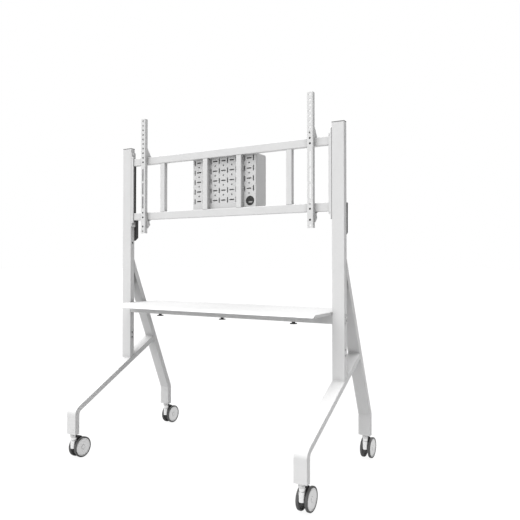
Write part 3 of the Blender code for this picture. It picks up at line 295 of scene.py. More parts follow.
def fit(name, mesh, material, slot, body, *nodes, sharp=32):
    """Put a piece on the stand, with its finish, its body and the nodes it stands for."""
    mesh.materials.clear()
    mesh.materials.append(material)
    mesh.shade_smooth()
    mesh.set_sharp_from_angle(angle=math.radians(sharp))
    piece = bpy.data.objects.new(name, mesh)
    bpy.context.scene.collection.objects.link(piece)
    even = piece.modifiers.new("even_normals", "WEIGHTED_NORMAL")
    even.keep_sharp = True
    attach(piece, body)
    if nodes:
        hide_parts(*nodes)


def upright_tube(low, high, rise=0.0):
    """A rectangular tube from corner to corner, whose foot may rise towards the rear."""
    middle = (low + high) / 2
    return pipe(high.x - low.x, high.y - low.y,
                [lambda u, v: (middle.x + u, middle.y + v, low.z + (middle.y + v - low.y) * rise),
                 lambda u, v: (middle.x + u, middle.y + v, high.z)])


def room(node):
    """The lowest and the highest corner of a node, and the middle between them."""
    low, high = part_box(node)
    return low, high, (low + high) / 2


for side, sign in SIDES:
    low, high, middle = room("column_" + side)
    inner_x = min(abs(low.x), abs(high.x)) * sign
    holes = [rod(BOLT_HOLE, ONE_WALL, (1, 0, 0), (inner_x, middle.y, height - drop))
             for height in FRAME_BOLT_HEIGHTS for drop in (0.0, FRAME_DROP)]
    holes += [rod(BOLT_HOLE, RIGHT_THROUGH, (1, 0, 0), (middle.x, middle.y, height - drop))
              for height in SHELF_BOLT_HEIGHTS for drop in (0.0, SHELF_DROP)]
    fit("column_tube_" + side, cut(upright_tube(low, high, MITRE_RISE), gathered(holes)),
        white_coat, "white_paint", "uprights", "column_" + side)

# Column caps
# A grey plastic cap closes the top of each column. It is moulded with a skirt that snaps
# into the tube.

grey_plastic = finish("moulded_grey_plastic", 0.22, 0.18, 0.27, rough=0.5, grain=0.0006,
                      bump=0.25)


def dress(material, *nodes):
    """Give solids of the frame their finish."""
    for node in nodes:
        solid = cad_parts[node].data
        solid.materials.clear()
        solid.materials.append(material)


dress(grey_plastic, "column_cap_left", "column_cap_right")

# Front legs
# Tubes of 60 x 28 mm: a short upright foot, a bend, and a straight run that rises under the
# column to the rear leg. Bent on a mandrel, mitred, welded and powder coated.

GAP = 0.0003                  # between pieces that touch
LEG_WIDTH = 0.060
LEG_DEPTH = 0.028
FOOT_BOTTOM = 0.123
FRONT_FOOT_Y = -0.3975
REAR_FOOT_Y = 0.3175
FRONT_CORNER = 0.2402         # height where the foot's and the sloping run's middles cross
FRONT_BEND = 0.036
REAR_CORNER = 0.227
REAR_LEAN = math.radians(23.2)
COLUMN_X = 0.630
COLUMN_Y = -0.0105


def leg_path(foot_y, corner, turn, radius, steps=14):
    """Places (y, z) and headings up a foot and round its bend, turning from the vertical."""
    way = 1 if turn > 0 else -1
    bend_start = corner - radius * math.tan(abs(turn) / 2)
    path = [(foot_y, FOOT_BOTTOM, 0.0)]
    for step in range(steps + 1):
        angle = abs(turn) * step / steps
        path.append((foot_y + way * radius * (1 - math.cos(angle)),
                     bend_start + radius * math.sin(angle), way * angle))
    return path


def leg_stations(x, path, face_at, face_normal):
    """Stations along a leg's path, and a last one on the face that the leg is cut to."""
    def station(y, z, heading):
        return lambda u, v: Vector((x + u, y + v * math.cos(heading), z - v * math.sin(heading)))

    stations = [station(*step) for step in path]
    last = stations[-1]
    heading = path[-1][2]
    run = Vector((0.0, math.sin(heading), math.cos(heading)))
    face = Vector((0.0, *face_at))
    normal = Vector((0.0, *face_normal))

    def on_face(u, v):
        start = last(u, v)
        return start + run * ((face - start).dot(normal) / run.dot(normal))

    return stations + [on_face]


front_path = leg_path(FRONT_FOOT_Y, FRONT_CORNER, math.pi / 2 - FRONT_SLOPE, FRONT_BEND)
rear_face = (math.cos(REAR_LEAN), math.sin(REAR_LEAN))
rear_face_at = (REAR_FOOT_Y - rear_face[0] * (LEG_DEPTH / 2 + GAP),
                REAR_CORNER - rear_face[1] * (LEG_DEPTH / 2 + GAP))
front_ends = {}
for side, sign in SIDES:
    stations = leg_stations(sign * COLUMN_X, front_path, rear_face_at, rear_face)
    front_ends[side] = stations[-1]
    fit("front_leg_tube_" + side, pipe(LEG_WIDTH, LEG_DEPTH, stations), white_coat,
        "white_paint", "uprights", "front_leg_" + side)

# Rear legs and the welds of the uprights
# The same tube, with an upright foot and a run that leans forward onto the column's rear
# face. Short runs of weld at the joints are left under the paint.

REAR_BEND = 0.025
COLUMN_DEPTH = 0.030
WELD = 0.0022
FINE_WELD = 0.0011            # where the frame's carriages come down to the rear legs
RIPPLE = 0.0007               # the step between the rings of a weld

rear_path = leg_path(REAR_FOOT_Y, REAR_CORNER, -REAR_LEAN, REAR_BEND)
column_back = COLUMN_Y + COLUMN_DEPTH / 2 + GAP


def bead(start, end, along_a, along_b, size=WELD):
    """A run of weld in the corner between two faces, with its faint ripple."""
    start, end, along_a, along_b = (Vector(p) for p in (start, end, along_a, along_b))
    run = end - start
    count = max(6, round(run.length / RIPPLE))
    swell = (along_a + along_b).normalized()
    rings = []
    for step in range(count + 1):
        near_end = min(step, count - step) / 4
        ripple = 0.92 + 0.08 * math.cos(step * math.pi / 2)
        reach = size * ripple * (1 if near_end >= 1 else 0.55 + 0.45 * near_end)
        at = start + run * (step / count)
        bulge = at + (along_a + along_b) * (reach * 0.36) + swell * (reach * 0.2)
        rings.append([at - swell * GAP, at + along_a * reach,
                      at + along_a * (reach * 0.72) + swell * (reach * 0.3), bulge,
                      at + along_b * (reach * 0.72) + swell * (reach * 0.3),
                      at + along_b * reach])
    return skin(rings, caps=True)


up = Vector((0, 0, 1))
leg_up = Vector((0, math.cos(FRONT_SLOPE), math.sin(FRONT_SLOPE)))
lean_up = Vector((0, -math.sin(REAR_LEAN), math.cos(REAR_LEAN)))
for side, sign in SIDES:
    x = sign * COLUMN_X
    stations = leg_stations(x, rear_path, (column_back, 0.0), (1.0, 0.0))
    fit("rear_leg_tube_" + side, pipe(LEG_WIDTH, LEG_DEPTH, stations), white_coat,
        "white_paint", "uprights", "rear_leg_" + side)
    half = LEG_WIDTH / 2 - TUBE_CORNER
    low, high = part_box("column_" + side)
    mitre_top = low.z + (high.y - low.y) * MITRE_RISE
    upper_end = stations[-1](0.0, LEG_DEPTH / 2)
    lower_end = stations[-1](0.0, -LEG_DEPTH / 2)
    front_over = front_ends[side](0.0, -LEG_DEPTH / 2)
    front_under = front_ends[side](0.0, LEG_DEPTH / 2)
    beads = []
    for (y, z), along_a, along_b, size in (
            ((low.y, low.z), up, -leg_up, WELD), ((high.y, mitre_top), up, leg_up, WELD),
            (upper_end[1:], up, -lean_up, FINE_WELD), (lower_end[1:], -up, -lean_up, WELD),
            (front_over[1:], lean_up, -leg_up, WELD), (front_under[1:], -lean_up, -leg_up, WELD)):
        beads.append(bead((x - half, y, z), (x + half, y, z), along_a, along_b, size))
    fit("upright_welds_" + side, gathered(beads), white_coat, "white_paint", "uprights",
        sharp=70)

# Foot plugs
# Grey plastic plugs pressed into the open feet. Each holds the steel stem that its caster
# turns on, which is hidden in the caster.

dress(grey_plastic, *("foot_plug_" + end + "_" + side for end in ("front", "rear")
                      for side, _ in SIDES))

# Caster yokes
# A cast post with a square shoulder and an arm that carries the axle behind it, painted a
# pale silver. A pale grey swivel collar sits on top of the post, under the foot.

CASTER_TRAIL = 0.044          # from the stem back to the axle
AXLE_HEIGHT = 0.050
WHEEL_INNER = 0.0125          # from the caster's middle to a wheel's inner face
POST_RADIUS = 0.0120
POST_NECK = 0.0108            # its radius inside the collar
POST_TOP = FOOT_BOTTOM - GAP
POST_FOOT = 0.0515
POST_ROUND = 0.002
RING_LINE = 0.0925            # height of the groove round the post
STEM_BORE = 0.0063
STEM_BORE_END = 0.1007
COLLAR_RADIUS = 0.0135
COLLAR_BOTTOM = 0.1067
AXLE_RADIUS = 0.004
HUB_RADIUS = 0.013
ARM_THICKNESS = 0.015
YOKE_EDGE = 0.0018            # the rounding of its cast edges
PEDAL_PIN = (0.026, 0.078)    # behind the stem, and height
PIN_RADIUS = 0.0025
RUNNING = 0.0006              # between pieces that turn or slide past each other

CASTERS = [(end + "_" + side, sign * COLUMN_X, foot_y)
           for end, foot_y in (("front", FRONT_FOOT_Y), ("rear", REAR_FOOT_Y))
           for side, sign in SIDES]

silver_coat = finish("pale_silver_coat", 0.86, 0.82, 0.74, rough=0.36, grain=0.0008, bump=0.12,
                     metallic=0.8, corner_shade_reach=0.01)
collar_grey = finish("pale_grey_collar", 0.70, 0.64, 0.58, rough=0.4, grain=0.0006, bump=0.15,
                     metallic=0.6, corner_shade_reach=0.01)


def board(loops, thickness, edge, axis="X", at=(0.0, 0.0, 0.0)):
    """A flat piece with rounded edges from its outline and its holes.

    Across X the outline is drawn in depth and height, across Y in width and height.
    """
    curve = bpy.data.curves.new("board", "CURVE")
    curve.dimensions = "2D"
    curve.fill_mode = "BOTH"
    curve.extrude = thickness / 2 - edge
    curve.bevel_depth = edge
    curve.bevel_resolution = 1
    curve.offset = -edge
    for loop in loops:
        spline = curve.splines.new("POLY")
        spline.points.add(len(loop) - 1)
        for corner, (u, v) in zip(spline.points, loop):
            corner.co = (u, v, 0.0, 1.0)
        spline.use_cyclic_u = True
    drawn = bpy.data.objects.new("board", curve)
    bpy.context.scene.collection.objects.link(drawn)
    work = bmesh.new()
    flat = as_modified(drawn)
    work.from_mesh(flat)
    bpy.data.meshes.remove(flat)
    bmesh.ops.remove_doubles(work, verts=work.verts, dist=1e-5)
    stand_up = {"X": Matrix(((0, 0, 1), (1, 0, 0), (0, 1, 0))),
                "Y": Matrix(((1, 0, 0), (0, 0, -1), (0, 1, 0)))}[axis]
    work.transform(Matrix.Translation(at) @ stand_up.to_4x4())
    return close_up(work)


def joined(mesh, *others):
    """The mesh with others joined to it, one after the other."""
    for other in others:
        mesh = worked(mesh, other, "UNION")
    return mesh


def moved(mesh, x, y=0.0):
    """A copy of a mesh in another place on the floor plan."""
    copy = mesh.copy()
    copy.transform(Matrix.Translation((x, y, 0.0)))
    return copy


post = spun([(STEM_BORE, POST_TOP - 0.002), (POST_NECK, POST_TOP - 0.002),
             (POST_NECK, COLLAR_BOTTOM), (POST_NECK, RING_LINE + 0.0014),
             (0.0094, RING_LINE + 0.0010), (0.0094, RING_LINE - 0.0010),
             (POST_RADIUS - 0.0006, RING_LINE - 0.0014), (POST_RADIUS, RING_LINE - 0.0024),
             *arc((POST_RADIUS - POST_ROUND, POST_FOOT + POST_ROUND), POST_ROUND, 0, -90, 4),
             (0.0, POST_FOOT), (0.0, STEM_BORE_END), (STEM_BORE, STEM_BORE_END)],
            (0, 0, 1), (0.0, 0.0, 0.0), sides=48)
arm = board([[(0.0, 0.0545), (CASTER_TRAIL, AXLE_HEIGHT - 0.0117),
              *arc((CASTER_TRAIL, AXLE_HEIGHT), HUB_RADIUS - 0.0005, -80, 55, 6),
              *arc((PEDAL_PIN[0], PEDAL_PIN[1] - 0.001), 0.006, 40, 140, 5), (0.0, 0.083)]],
            ARM_THICKNESS, YOKE_EDGE)
shoulder = board([[(0.0, 0.0815), (0.0118, 0.0800), (0.0132, 0.0815), (0.0132, 0.1015),
                   (0.0110, 0.1052), (0.0, 0.1058)]], 2 * (WHEEL_INNER - 0.0012), YOKE_EDGE)
axle_at = (0.0, CASTER_TRAIL, AXLE_HEIGHT)
post = joined(post, arm, shoulder,
              rod(HUB_RADIUS, 2 * (WHEEL_INNER - GAP), (1, 0, 0), axle_at, sides=40),
              rod(AXLE_RADIUS, 2 * (WHEEL_INNER + 0.008), (1, 0, 0), axle_at),
              rod(PIN_RADIUS, 2 * (WHEEL_INNER - RUNNING), (1, 0, 0), (0.0, *PEDAL_PIN)))
collar_side = [(COLLAR_RADIUS - inset, POST_TOP - drop) for inset, drop in
               ((0.0012, 0.0), (0.0003, 0.0004), (0.0, 0.0014), (0.0, 0.0050),
                (0.0007, 0.0055), (0.0007, 0.0063), (0.0, 0.0068))]
collar = spun([(STEM_BORE + 0.0002, POST_TOP), *collar_side,
               (COLLAR_RADIUS, COLLAR_BOTTOM + 0.003),
               *arc((COLLAR_RADIUS - POST_ROUND, COLLAR_BOTTOM + POST_ROUND), POST_ROUND,
                    0, -90, 4)[1:],
               (POST_NECK + GAP / 3, COLLAR_BOTTOM), (POST_NECK + GAP / 3, POST_TOP - 0.0017),
               (STEM_BORE + 0.0002, POST_TOP - 0.0017)],
              (0, 0, 1), (0.0, 0.0, 0.0), sides=48, closed=True)
for corner, x, y in CASTERS:
    body = "caster_" + corner
    fit("caster_post_" + corner, moved(post, x, y), silver_coat, "pale_metal", body,
        "caster_yoke_" + corner)
    fit("caster_collar_" + corner, moved(collar, x, y), collar_grey, "pale_metal", body,
        "caster_yoke_" + corner)

# Wheels
# Each caster has two wheels: a dark moulded core, a soft grey tyre moulded round it, and a
# pale face disc pressed over the outer side. They spin on the ends of the axle.

TYRE_RADIUS = 0.050
WHEEL_WIDTH = 0.0135
OUTER_ROUND = 0.0028          # the rounding of the tyre's two shoulders
INNER_ROUND = 0.004

tyre_grey = finish("soft_grey_tyre", 0.125, 0.105, 0.16, rough=0.68, grain=0.0009, bump=0.3,
                   corner_shade_tone=0.95, corner_shade_reach=0.015)
core_grey = finish("dark_grey_core", 0.24, 0.21, 0.27, rough=0.55, grain=0.0007, bump=0.2,
                   corner_shade_tone=0.95, corner_shade_reach=0.015)
disc_silver = finish("pale_silver_disc", 0.68, 0.64, 0.56, rough=0.34, grain=0.0007, bump=0.1,
                     metallic=0.8, corner_shade_reach=0.003)

# Turned sections: radius, and height from the wheel's inner face
tyre_section = [(0.0438, 0.0124), (0.0443, 0.0131),
                *arc((TYRE_RADIUS - OUTER_ROUND, WHEEL_WIDTH - OUTER_ROUND), OUTER_ROUND,
                     90, 6, 6),
                (TYRE_RADIUS, 0.0092), (TYRE_RADIUS, 0.0054),
                *arc((TYRE_RADIUS - INNER_ROUND, INNER_ROUND), INNER_ROUND, -6, -90, 7),
                (0.0442, 0.0), (0.0436, 0.0006), (0.0436, 0.0116)]
core_section = [(0.0, 0.0098), (0.0433, 0.0098), (0.0433, 0.0010), (0.0427, 0.0004),
                (0.0420, 0.0010), (0.0412, 0.0066), (0.0395, 0.0074), (0.0290, 0.0070),
                (0.0125, 0.0078), (0.0112, 0.0070), (0.0105, 0.0010), (0.0098, 0.0004),
                (0.0044, 0.0004), (0.0044, 0.0086), (0.0, 0.0086)]
disc_section = [(0.0, 0.0131), (0.0092, 0.0131), (0.0101, 0.0128), (0.0104, 0.0121),
                (0.0106, 0.0114), (0.0114, 0.0114), (0.0120, 0.0120), (0.0378, 0.0117),
                (0.0384, 0.0110), (0.0392, 0.0110), (0.0398, 0.0119), (0.0420, 0.0125),
                (0.0430, 0.0122), (0.0435, 0.0114), (0.0435, 0.0101), (0.0, 0.0101)]
for corner, x, y in CASTERS:
    for side, sign in SIDES:
        at = (x + sign * WHEEL_INNER, y + CASTER_TRAIL, AXLE_HEIGHT)
        body = "wheel_" + corner + "_" + side
        for part, section, closed, material, slot in (
                ("tyre_", tyre_section, True, tyre_grey, "grey_tyre"),
                ("wheel_core_", core_section, False, core_grey, "grey_tyre"),
                ("wheel_disc_", disc_section, False, disc_silver, "pale_metal")):
            fit(part + corner + "_" + side,
                spun(section, (sign, 0, 0), at, sides=72, closed=closed), material, slot, body,
                body)

# Brake pedals
# Black moulded pedals behind the posts, on pins through the yokes. A foot presses the
# ribbed plate down to lock both wheels.

PEDAL_HALF = WHEEL_INNER - RUNNING
PEDAL_FRONT = (0.0147, 0.1145)              # behind the stem, and height
PEDAL_REAR = (0.047, 0.101)
PEDAL_PLATE = 0.005
PEDAL_WALL = 0.003
PEDAL_RIBS = 5
RIB_START = 0.0085
RIB_PITCH = 0.0044
RIB_RADIUS = 0.0008
HOLLOW_HALF = 0.05            # half the height of the block that hollows the pedal

black_plastic = finish("moulded_black_plastic", 0.055, 0.046, 0.085, rough=0.48, grain=0.0006,
                       bump=0.25)
pedal_slope = math.atan2(PEDAL_FRONT[1] - PEDAL_REAR[1], PEDAL_REAR[0] - PEDAL_FRONT[0])
pedal_run = Vector((0.0, math.cos(pedal_slope), -math.sin(pedal_slope)))
pedal_face = Vector((0.0, math.sin(pedal_slope), math.cos(pedal_slope)))
pedal = board([[PEDAL_FRONT, (PEDAL_FRONT[0], 0.102),
                *arc(PEDAL_PIN, 0.0056, 200, 340, 6),
                (PEDAL_REAR[0], PEDAL_REAR[1] - 0.005), PEDAL_REAR]],
              2 * PEDAL_HALF, edge=0.0012)
under = Vector((0.0, *PEDAL_FRONT)) - pedal_face * (PEDAL_PLATE + HOLLOW_HALF)
hollow = board([[(-0.04, -HOLLOW_HALF), (0.08, -HOLLOW_HALF), (0.08, HOLLOW_HALF),
                 (-0.04, HOLLOW_HALF)]], 2 * (PEDAL_HALF - PEDAL_WALL), edge=0.0008)
hollow.transform(Matrix.Translation(under) @ Matrix.Rotation(-pedal_slope, 4, "X"))
pedal = cut(pedal, hollow, rod(PIN_RADIUS + GAP, 0.05, (1, 0, 0), (0.0, *PEDAL_PIN)))
for rib in range(PEDAL_RIBS):
    at = (Vector((0.0, *PEDAL_FRONT)) + pedal_run * (RIB_START + RIB_PITCH * rib)
          - pedal_face * (RIB_RADIUS / 4))
    pedal = joined(pedal, rod(RIB_RADIUS, 2 * (PEDAL_HALF - PEDAL_WALL), (1, 0, 0), at, sides=12))
for corner, x, y in CASTERS:
    fit("pedal_" + corner, moved(pedal, x, y), black_plastic, "black_plastic",
        "pedal_" + corner, "brake_pedal_" + corner)

# Rail frame
# Two rails of 40 x 25 mm tube and four bars, welded and powder coated white. An angle at each
# end is screwed to the carriage through its front strip, and its leg takes the height bolts.

RAIL_WELD = 0.0018
STRIP_DEPTH = 0.008
STRIP_CORNER = 0.004
STRIP_CLEARANCE = 0.0008      # from the angle to the column
STRIP_PAST_RAILS = (0.014, 0.012)           # below the bottom rail, and above the top one
ANGLE_LEG = 0.0052
ANGLE_CORNER = 0.005
FRAME_BOLT_HOLE = 0.0043


def level_tube(low, high):
    """A rectangular tube along X, from corner to corner."""
    middle = (low + high) / 2
    return pipe(high.y - low.y, high.z - low.z,
                [lambda u, v: (low.x, middle.y + u, middle.z + v),
                 lambda u, v: (high.x, middle.y + u, middle.z + v)])


def circle(centre, radius, sides=24):
    """The outline of a round hole or plate."""
    return arc(centre, radius, 0, 360 - 360 / sides, sides - 1)


for name in ("top_rail", "bottom_rail"):
    fit(name + "_tube", level_tube(*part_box(name)), white_coat, "white_paint", "rail_frame", name)
bar_welds = []
for number in range(1, 5):
    name = "upright_bar_" + str(number)
    low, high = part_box(name)
    fit(name + "_tube", upright_tube(low, high), white_coat, "white_paint", "rail_frame", name)
    for x, away in ((low.x, -1), (high.x, 1)):
        for z, along in ((low.z - GAP, 1), (high.z + GAP, -1)):
            bar_welds.append(bead((x, low.y + TUBE_CORNER, z), (x, high.y - TUBE_CORNER, z),
                                  (away, 0, 0), (0, 0, along), RAIL_WELD))
fit("rail_frame_welds", gathered(bar_welds), white_coat, "white_paint", "rail_frame", sharp=70)

rail_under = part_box("bottom_rail")[0].z
rail_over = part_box("top_rail")[1].z
strip_bottom = rail_under - STRIP_PAST_RAILS[0]
strip_top = rail_over + STRIP_PAST_RAILS[1]
angle_outer = COLUMN_X - LEG_WIDTH / 2 - STRIP_CLEARANCE
for side, sign in SIDES:
    low, high, middle = room("end_plate_" + side)
    angle_inner = min(abs(low.x), abs(high.x))
    strip_x = (angle_inner + angle_outer) / 2
    strip = board([outline(angle_outer - angle_inner, strip_top - strip_bottom, STRIP_CORNER)],
                  STRIP_DEPTH, edge=0.0008, axis="Y",
                  at=(sign * strip_x, low.y + STRIP_DEPTH / 2, (strip_top + strip_bottom) / 2))
    leg_plan = [outline(high.y - low.y, high.z - low.z, ANGLE_CORNER)]
    leg_plan += [circle((COLUMN_Y - middle.y, height - middle.z), FRAME_BOLT_HOLE)
                 for height in FRAME_BOLT_HEIGHTS]
    leg = board(leg_plan, ANGLE_LEG, edge=0.0004,
                at=(sign * (angle_outer - ANGLE_LEG / 2), middle.y, middle.z))
    fit("end_angle_" + side, joined(leg, strip), white_coat, "white_paint", "rail_frame",
        "end_plate_" + side)

# Carriages
# Folded black steel channels behind the end angles, beside the columns. The neck and block at
# the foot of each reach behind its column, to guide the frame up and down it.

CARRIAGE_WALL = 0.003
CARRIAGE_DEPTH = 0.0167
CARRIAGE_BELOW = 0.009        # below the bottom rail
NECK = 0.048                  # height of the neck, from the channel's foot up
FOOT_THICKNESS = 0.022
FOOT_START = 0.0071           # from the channel's inner face
FOOT_RISE = 0.0166            # of its underside, towards the rear

black_coat = finish("black_powder_coat", 0.056, 0.047, 0.10, rough=0.46, grain=0.0010, bump=0.2)


def prism(loop, axis, span, at=(0.0, 0.0)):
    """A straight solid between two places on an axis, its outline drawn across that axis."""
    place = {"X": lambda w, u, v: (w, u, v), "Y": lambda w, u, v: (u, w, v),
             "Z": lambda w, u, v: (u, v, w)}[axis]
    return skin([[place(w, at[0] + u, at[1] + v) for u, v in loop] for w in span], caps=True)


channel_outer = angle_outer - ANGLE_LEG - GAP
rear = column_back + FOOT_THICKNESS
bottom = rail_under - CARRIAGE_BELOW
neck_top = bottom + NECK
for side, sign in SIDES:
    low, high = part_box("carriage_" + side)
    inner, far = sorted((abs(low.x), abs(high.x)))
    front, back = low.y, low.y + CARRIAGE_DEPTH
    start = inner + FOOT_START
    channel_plan = [(inner, front), (channel_outer, front),
                    (channel_outer, front + CARRIAGE_WALL),
                    (inner + CARRIAGE_WALL, front + CARRIAGE_WALL),
                    (inner + CARRIAGE_WALL, back - CARRIAGE_WALL),
                    (channel_outer, back - CARRIAGE_WALL), (channel_outer, back), (inner, back)]
    neck_plan = [(inner, front), (channel_outer, front), (channel_outer, column_back),
                 (far, column_back), (far, rear), (start, rear), (inner, back)]
    channel, neck = (prism([(sign * x, y) for x, y in plan], "Z", (bottom, top))
                     for plan, top in ((channel_plan, rail_over - GAP), (neck_plan, neck_top)))
    foot = board([[(column_back, low.z), (rear, low.z + FOOT_RISE), (rear, neck_top),
                   (column_back, neck_top)]], far - start, edge=0.001,
                 at=(sign * (start + far) / 2, 0.0, 0.0))
    fit("carriage_channel_" + side, joined(channel, neck, foot), black_coat, "black_paint",
        "rail_frame", "carriage_" + side)

# Frame bolts and the small screws of the end angles
# Button head bolts, bright zinc, with a hexagon socket. Two on each side press on the column
# and set the frame's height.

BOLT_HEAD = 0.0045
BOLT_RADIUS = 0.004
FRAME_HEAD_RADIUS = 0.006
SCREW_RADIUS = 0.003
SCREW_INSET = 0.008           # from the ends of the angle's strip

bright_zinc = finish("bright_zinc", 0.72, 0.64, 0.78, rough=0.30, grain=0.0008, bump=0.08,
                     metallic=0.75, edge=0.0003, corner_shade_reach=0.006)


def hexagon(across):
    """The radius of a hexagon at an angle, for a given size across its flats."""
    sixth = math.pi / 3
    return lambda angle: across / 2 / math.cos((angle + sixth / 2) % sixth - sixth / 2)


def button_head(radius, height, axis, at, shank=0.0):
    """A domed bolt head with its hexagon socket, and a plain shank below it."""
    dome = [(radius * (0.56 + 0.44 * math.cos(math.radians(a))),
             height * (0.3 + 0.7 * math.sin(math.radians(a)))) for a in (0, 18, 36, 54, 72, 90)]
    socket = radius * 0.9
    profile = [(0.0, height * 0.38), (hexagon(socket * 0.5), height * 0.42),
               (hexagon(socket), height * 0.5), (hexagon(socket), height * 0.94),
               (hexagon(socket * 1.08), height), *dome[::-1][1:], (radius, height * 0.08),
               (radius * 0.97, 0.0)]
    if shank:
        profile += [(BOLT_RADIUS, 0.0), (BOLT_RADIUS, -shank + 0.0006),
                    (BOLT_RADIUS - 0.0006, -shank)]
    profile.append((0.0, profile[-1][1]))
    return spun(profile, axis, at, sides=36)


for side, sign in SIDES:
    for level in ("lower", "upper"):
        name = "frame_bolt_" + level + "_" + side
        low, high, middle = room(name)
        reach = high.x - low.x
        under_head = middle.x + sign * (BOLT_HEAD - reach / 2)
        fit(name + "_button", button_head(FRAME_HEAD_RADIUS, BOLT_HEAD, (-sign, 0, 0),
                                          (under_head, middle.y, middle.z), reach - BOLT_HEAD),
            bright_zinc, "bright_steel", "rail_frame", name)
    strip_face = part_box("end_plate_" + side)[0].y
    screws = []
    for height in (strip_bottom + SCREW_INSET, strip_top - SCREW_INSET):
        screws.append(spun([(0.0, 0.0003), (0.0004, 0.0003), (0.0012, 0.0004), (0.0026, 0.0003),
                            (SCREW_RADIUS, 0.0), (SCREW_RADIUS, -0.0004), (0.0, -0.0004)],
                           (0, -1, 0), (sign * strip_x, strip_face - 0.0001, height),
                           sides=24))
    fit("end_angle_screws_" + side, gathered(screws), bright_zinc, "bright_steel", "rail_frame")

# Screen brackets
# Channels folded from 2 mm sheet, powder coated white, that hook over the top rail. Screws
# go through the holes and the slots down their fronts. A lug holds the latch's pin.

BRACKET_X = 0.5
BRACKET_WALL = 0.002
BRACKET_WIDTH = 0.030
BRACKET_FOLD = 0.0026
HOOK_START = 0.050            # above the rail, where the hook leaves the flange
HOOK_RISE = 0.007
HOOK_TONGUE = 0.022
HOOK_THICKNESS = 0.003
LATCH_PIN_Y = COLUMN_Y + 0.0054             # just behind the columns' middle
LATCH_PIN_HEIGHT = 1.181
LUG_RADIUS = 0.0052
HOLE_RADIUS = 0.0051
HOLE_PITCH = 0.025
FIRST_HOLE = 1.7436
HOLE_ROWS = (0, 1, 2, 3, 4, 5, 6, 7, 8, 9, 20, 21, 23, 24)      # pitches below the first
SLOT_ROWS = ((10.42, 13.15), (13.49, 16.07), (16.39, 19.11))    # where each starts and ends
SLOT_WIDTH = 0.008

rail_low, rail_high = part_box("top_rail")
hook_under = rail_over + GAP
low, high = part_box("screen_bracket_left")
bracket_face = low.y
flange_back = rail_low.y - GAP
tongue_front = rail_high.y + GAP
tongue_back = tongue_front + HOOK_THICKNESS
bracket_side = [(bracket_face, low.z), (flange_back, low.z),
                (flange_back, LATCH_PIN_HEIGHT - LUG_RADIUS),
                *arc((LATCH_PIN_Y, LATCH_PIN_HEIGHT), LUG_RADIUS, -90, 90, 8),
                (flange_back, LATCH_PIN_HEIGHT + LUG_RADIUS), (flange_back, hook_under),
                (tongue_front, hook_under), (tongue_front, hook_under - HOOK_TONGUE),
                (tongue_back, hook_under - HOOK_TONGUE), (tongue_back, hook_under + HOOK_RISE),
                (flange_back, hook_under + HOOK_START), (flange_back, high.z),
                (bracket_face, high.z)]
blank = prism(bracket_side, "X", (-BRACKET_WIDTH / 2, BRACKET_WIDTH / 2))


def folded(mesh, radius, chosen):
    """The mesh with the chosen edges bent to a radius."""
    work = bmesh.new()
    work.from_mesh(mesh)
    bpy.data.meshes.remove(mesh)
    edges = [e for e in work.edges if all(chosen(v.co) for v in e.verts)]
    bmesh.ops.bevel(work, geom=edges, offset=radius, segments=5, profile=0.5, affect="EDGES")
    return close_up(work)


def slot_loop(u, v, length, width, steps=6):
    """A slot with round ends about (u, v); the longer of length and width is its run."""
    if length > width:
        reach = (length - width) / 2
        return (arc((u + reach, v), width / 2, -90, 90, steps)
                + arc((u - reach, v), width / 2, 90, 270, steps))
    reach = (width - length) / 2
    return (arc((u, v + reach), length / 2, 0, 180, steps)
            + arc((u, v - reach), length / 2, 180, 360, steps))


for way in (-1, 1):
    blank = folded(blank, BRACKET_FOLD, lambda p: p.y < bracket_face + 1e-4 and p.x * way > 0)
inside = BRACKET_WIDTH / 2 - BRACKET_WALL
trough_front = bracket_face + BRACKET_WALL
trough = prism([(-inside, trough_front), (inside, trough_front), (inside, 0.05), (-inside, 0.05)],
               "Z", (low.z - 0.1, high.z + 0.1))
punched = [rod(HOLE_RADIUS, 0.01, (0, 1, 0),
               (0.0, bracket_face, FIRST_HOLE - row * HOLE_PITCH), sides=28)
           for row in HOLE_ROWS]
for start, end in SLOT_ROWS:
    slot = slot_loop(0.0, FIRST_HOLE - (start + end) / 2 * HOLE_PITCH, SLOT_WIDTH,
                     (end - start) * HOLE_PITCH, steps=10)
    punched.append(prism(slot, "Y", (bracket_face - 0.005, bracket_face + 0.005)))
pin_at = (0.0, LATCH_PIN_Y, LATCH_PIN_HEIGHT)
punched.append(rod(PIN_RADIUS + GAP, 0.06, (1, 0, 0), pin_at))
bracket = cut(blank, trough, gathered(punched))
for side, sign in SIDES:
    fit("bracket_channel_" + side, moved(bracket, sign * BRACKET_X), white_coat, "white_paint",
        "bracket_" + side, "screen_bracket_" + side)

# Bracket pads
# Ribbed black pads inside the brackets, where they bear on the two rails. They are black so
# that the holes show dark there: painted shade inside the channels.

PAD_SPANS = ((1.508, 1.5290), (1.161, 1.2295))      # bottom and top of each pad
PAD_FRONT = 0.0045            # behind the bracket's face
PAD_CHAMFER = 0.001
PAD_RIB = 0.0012
PAD_RIB_PITCH = 0.0058
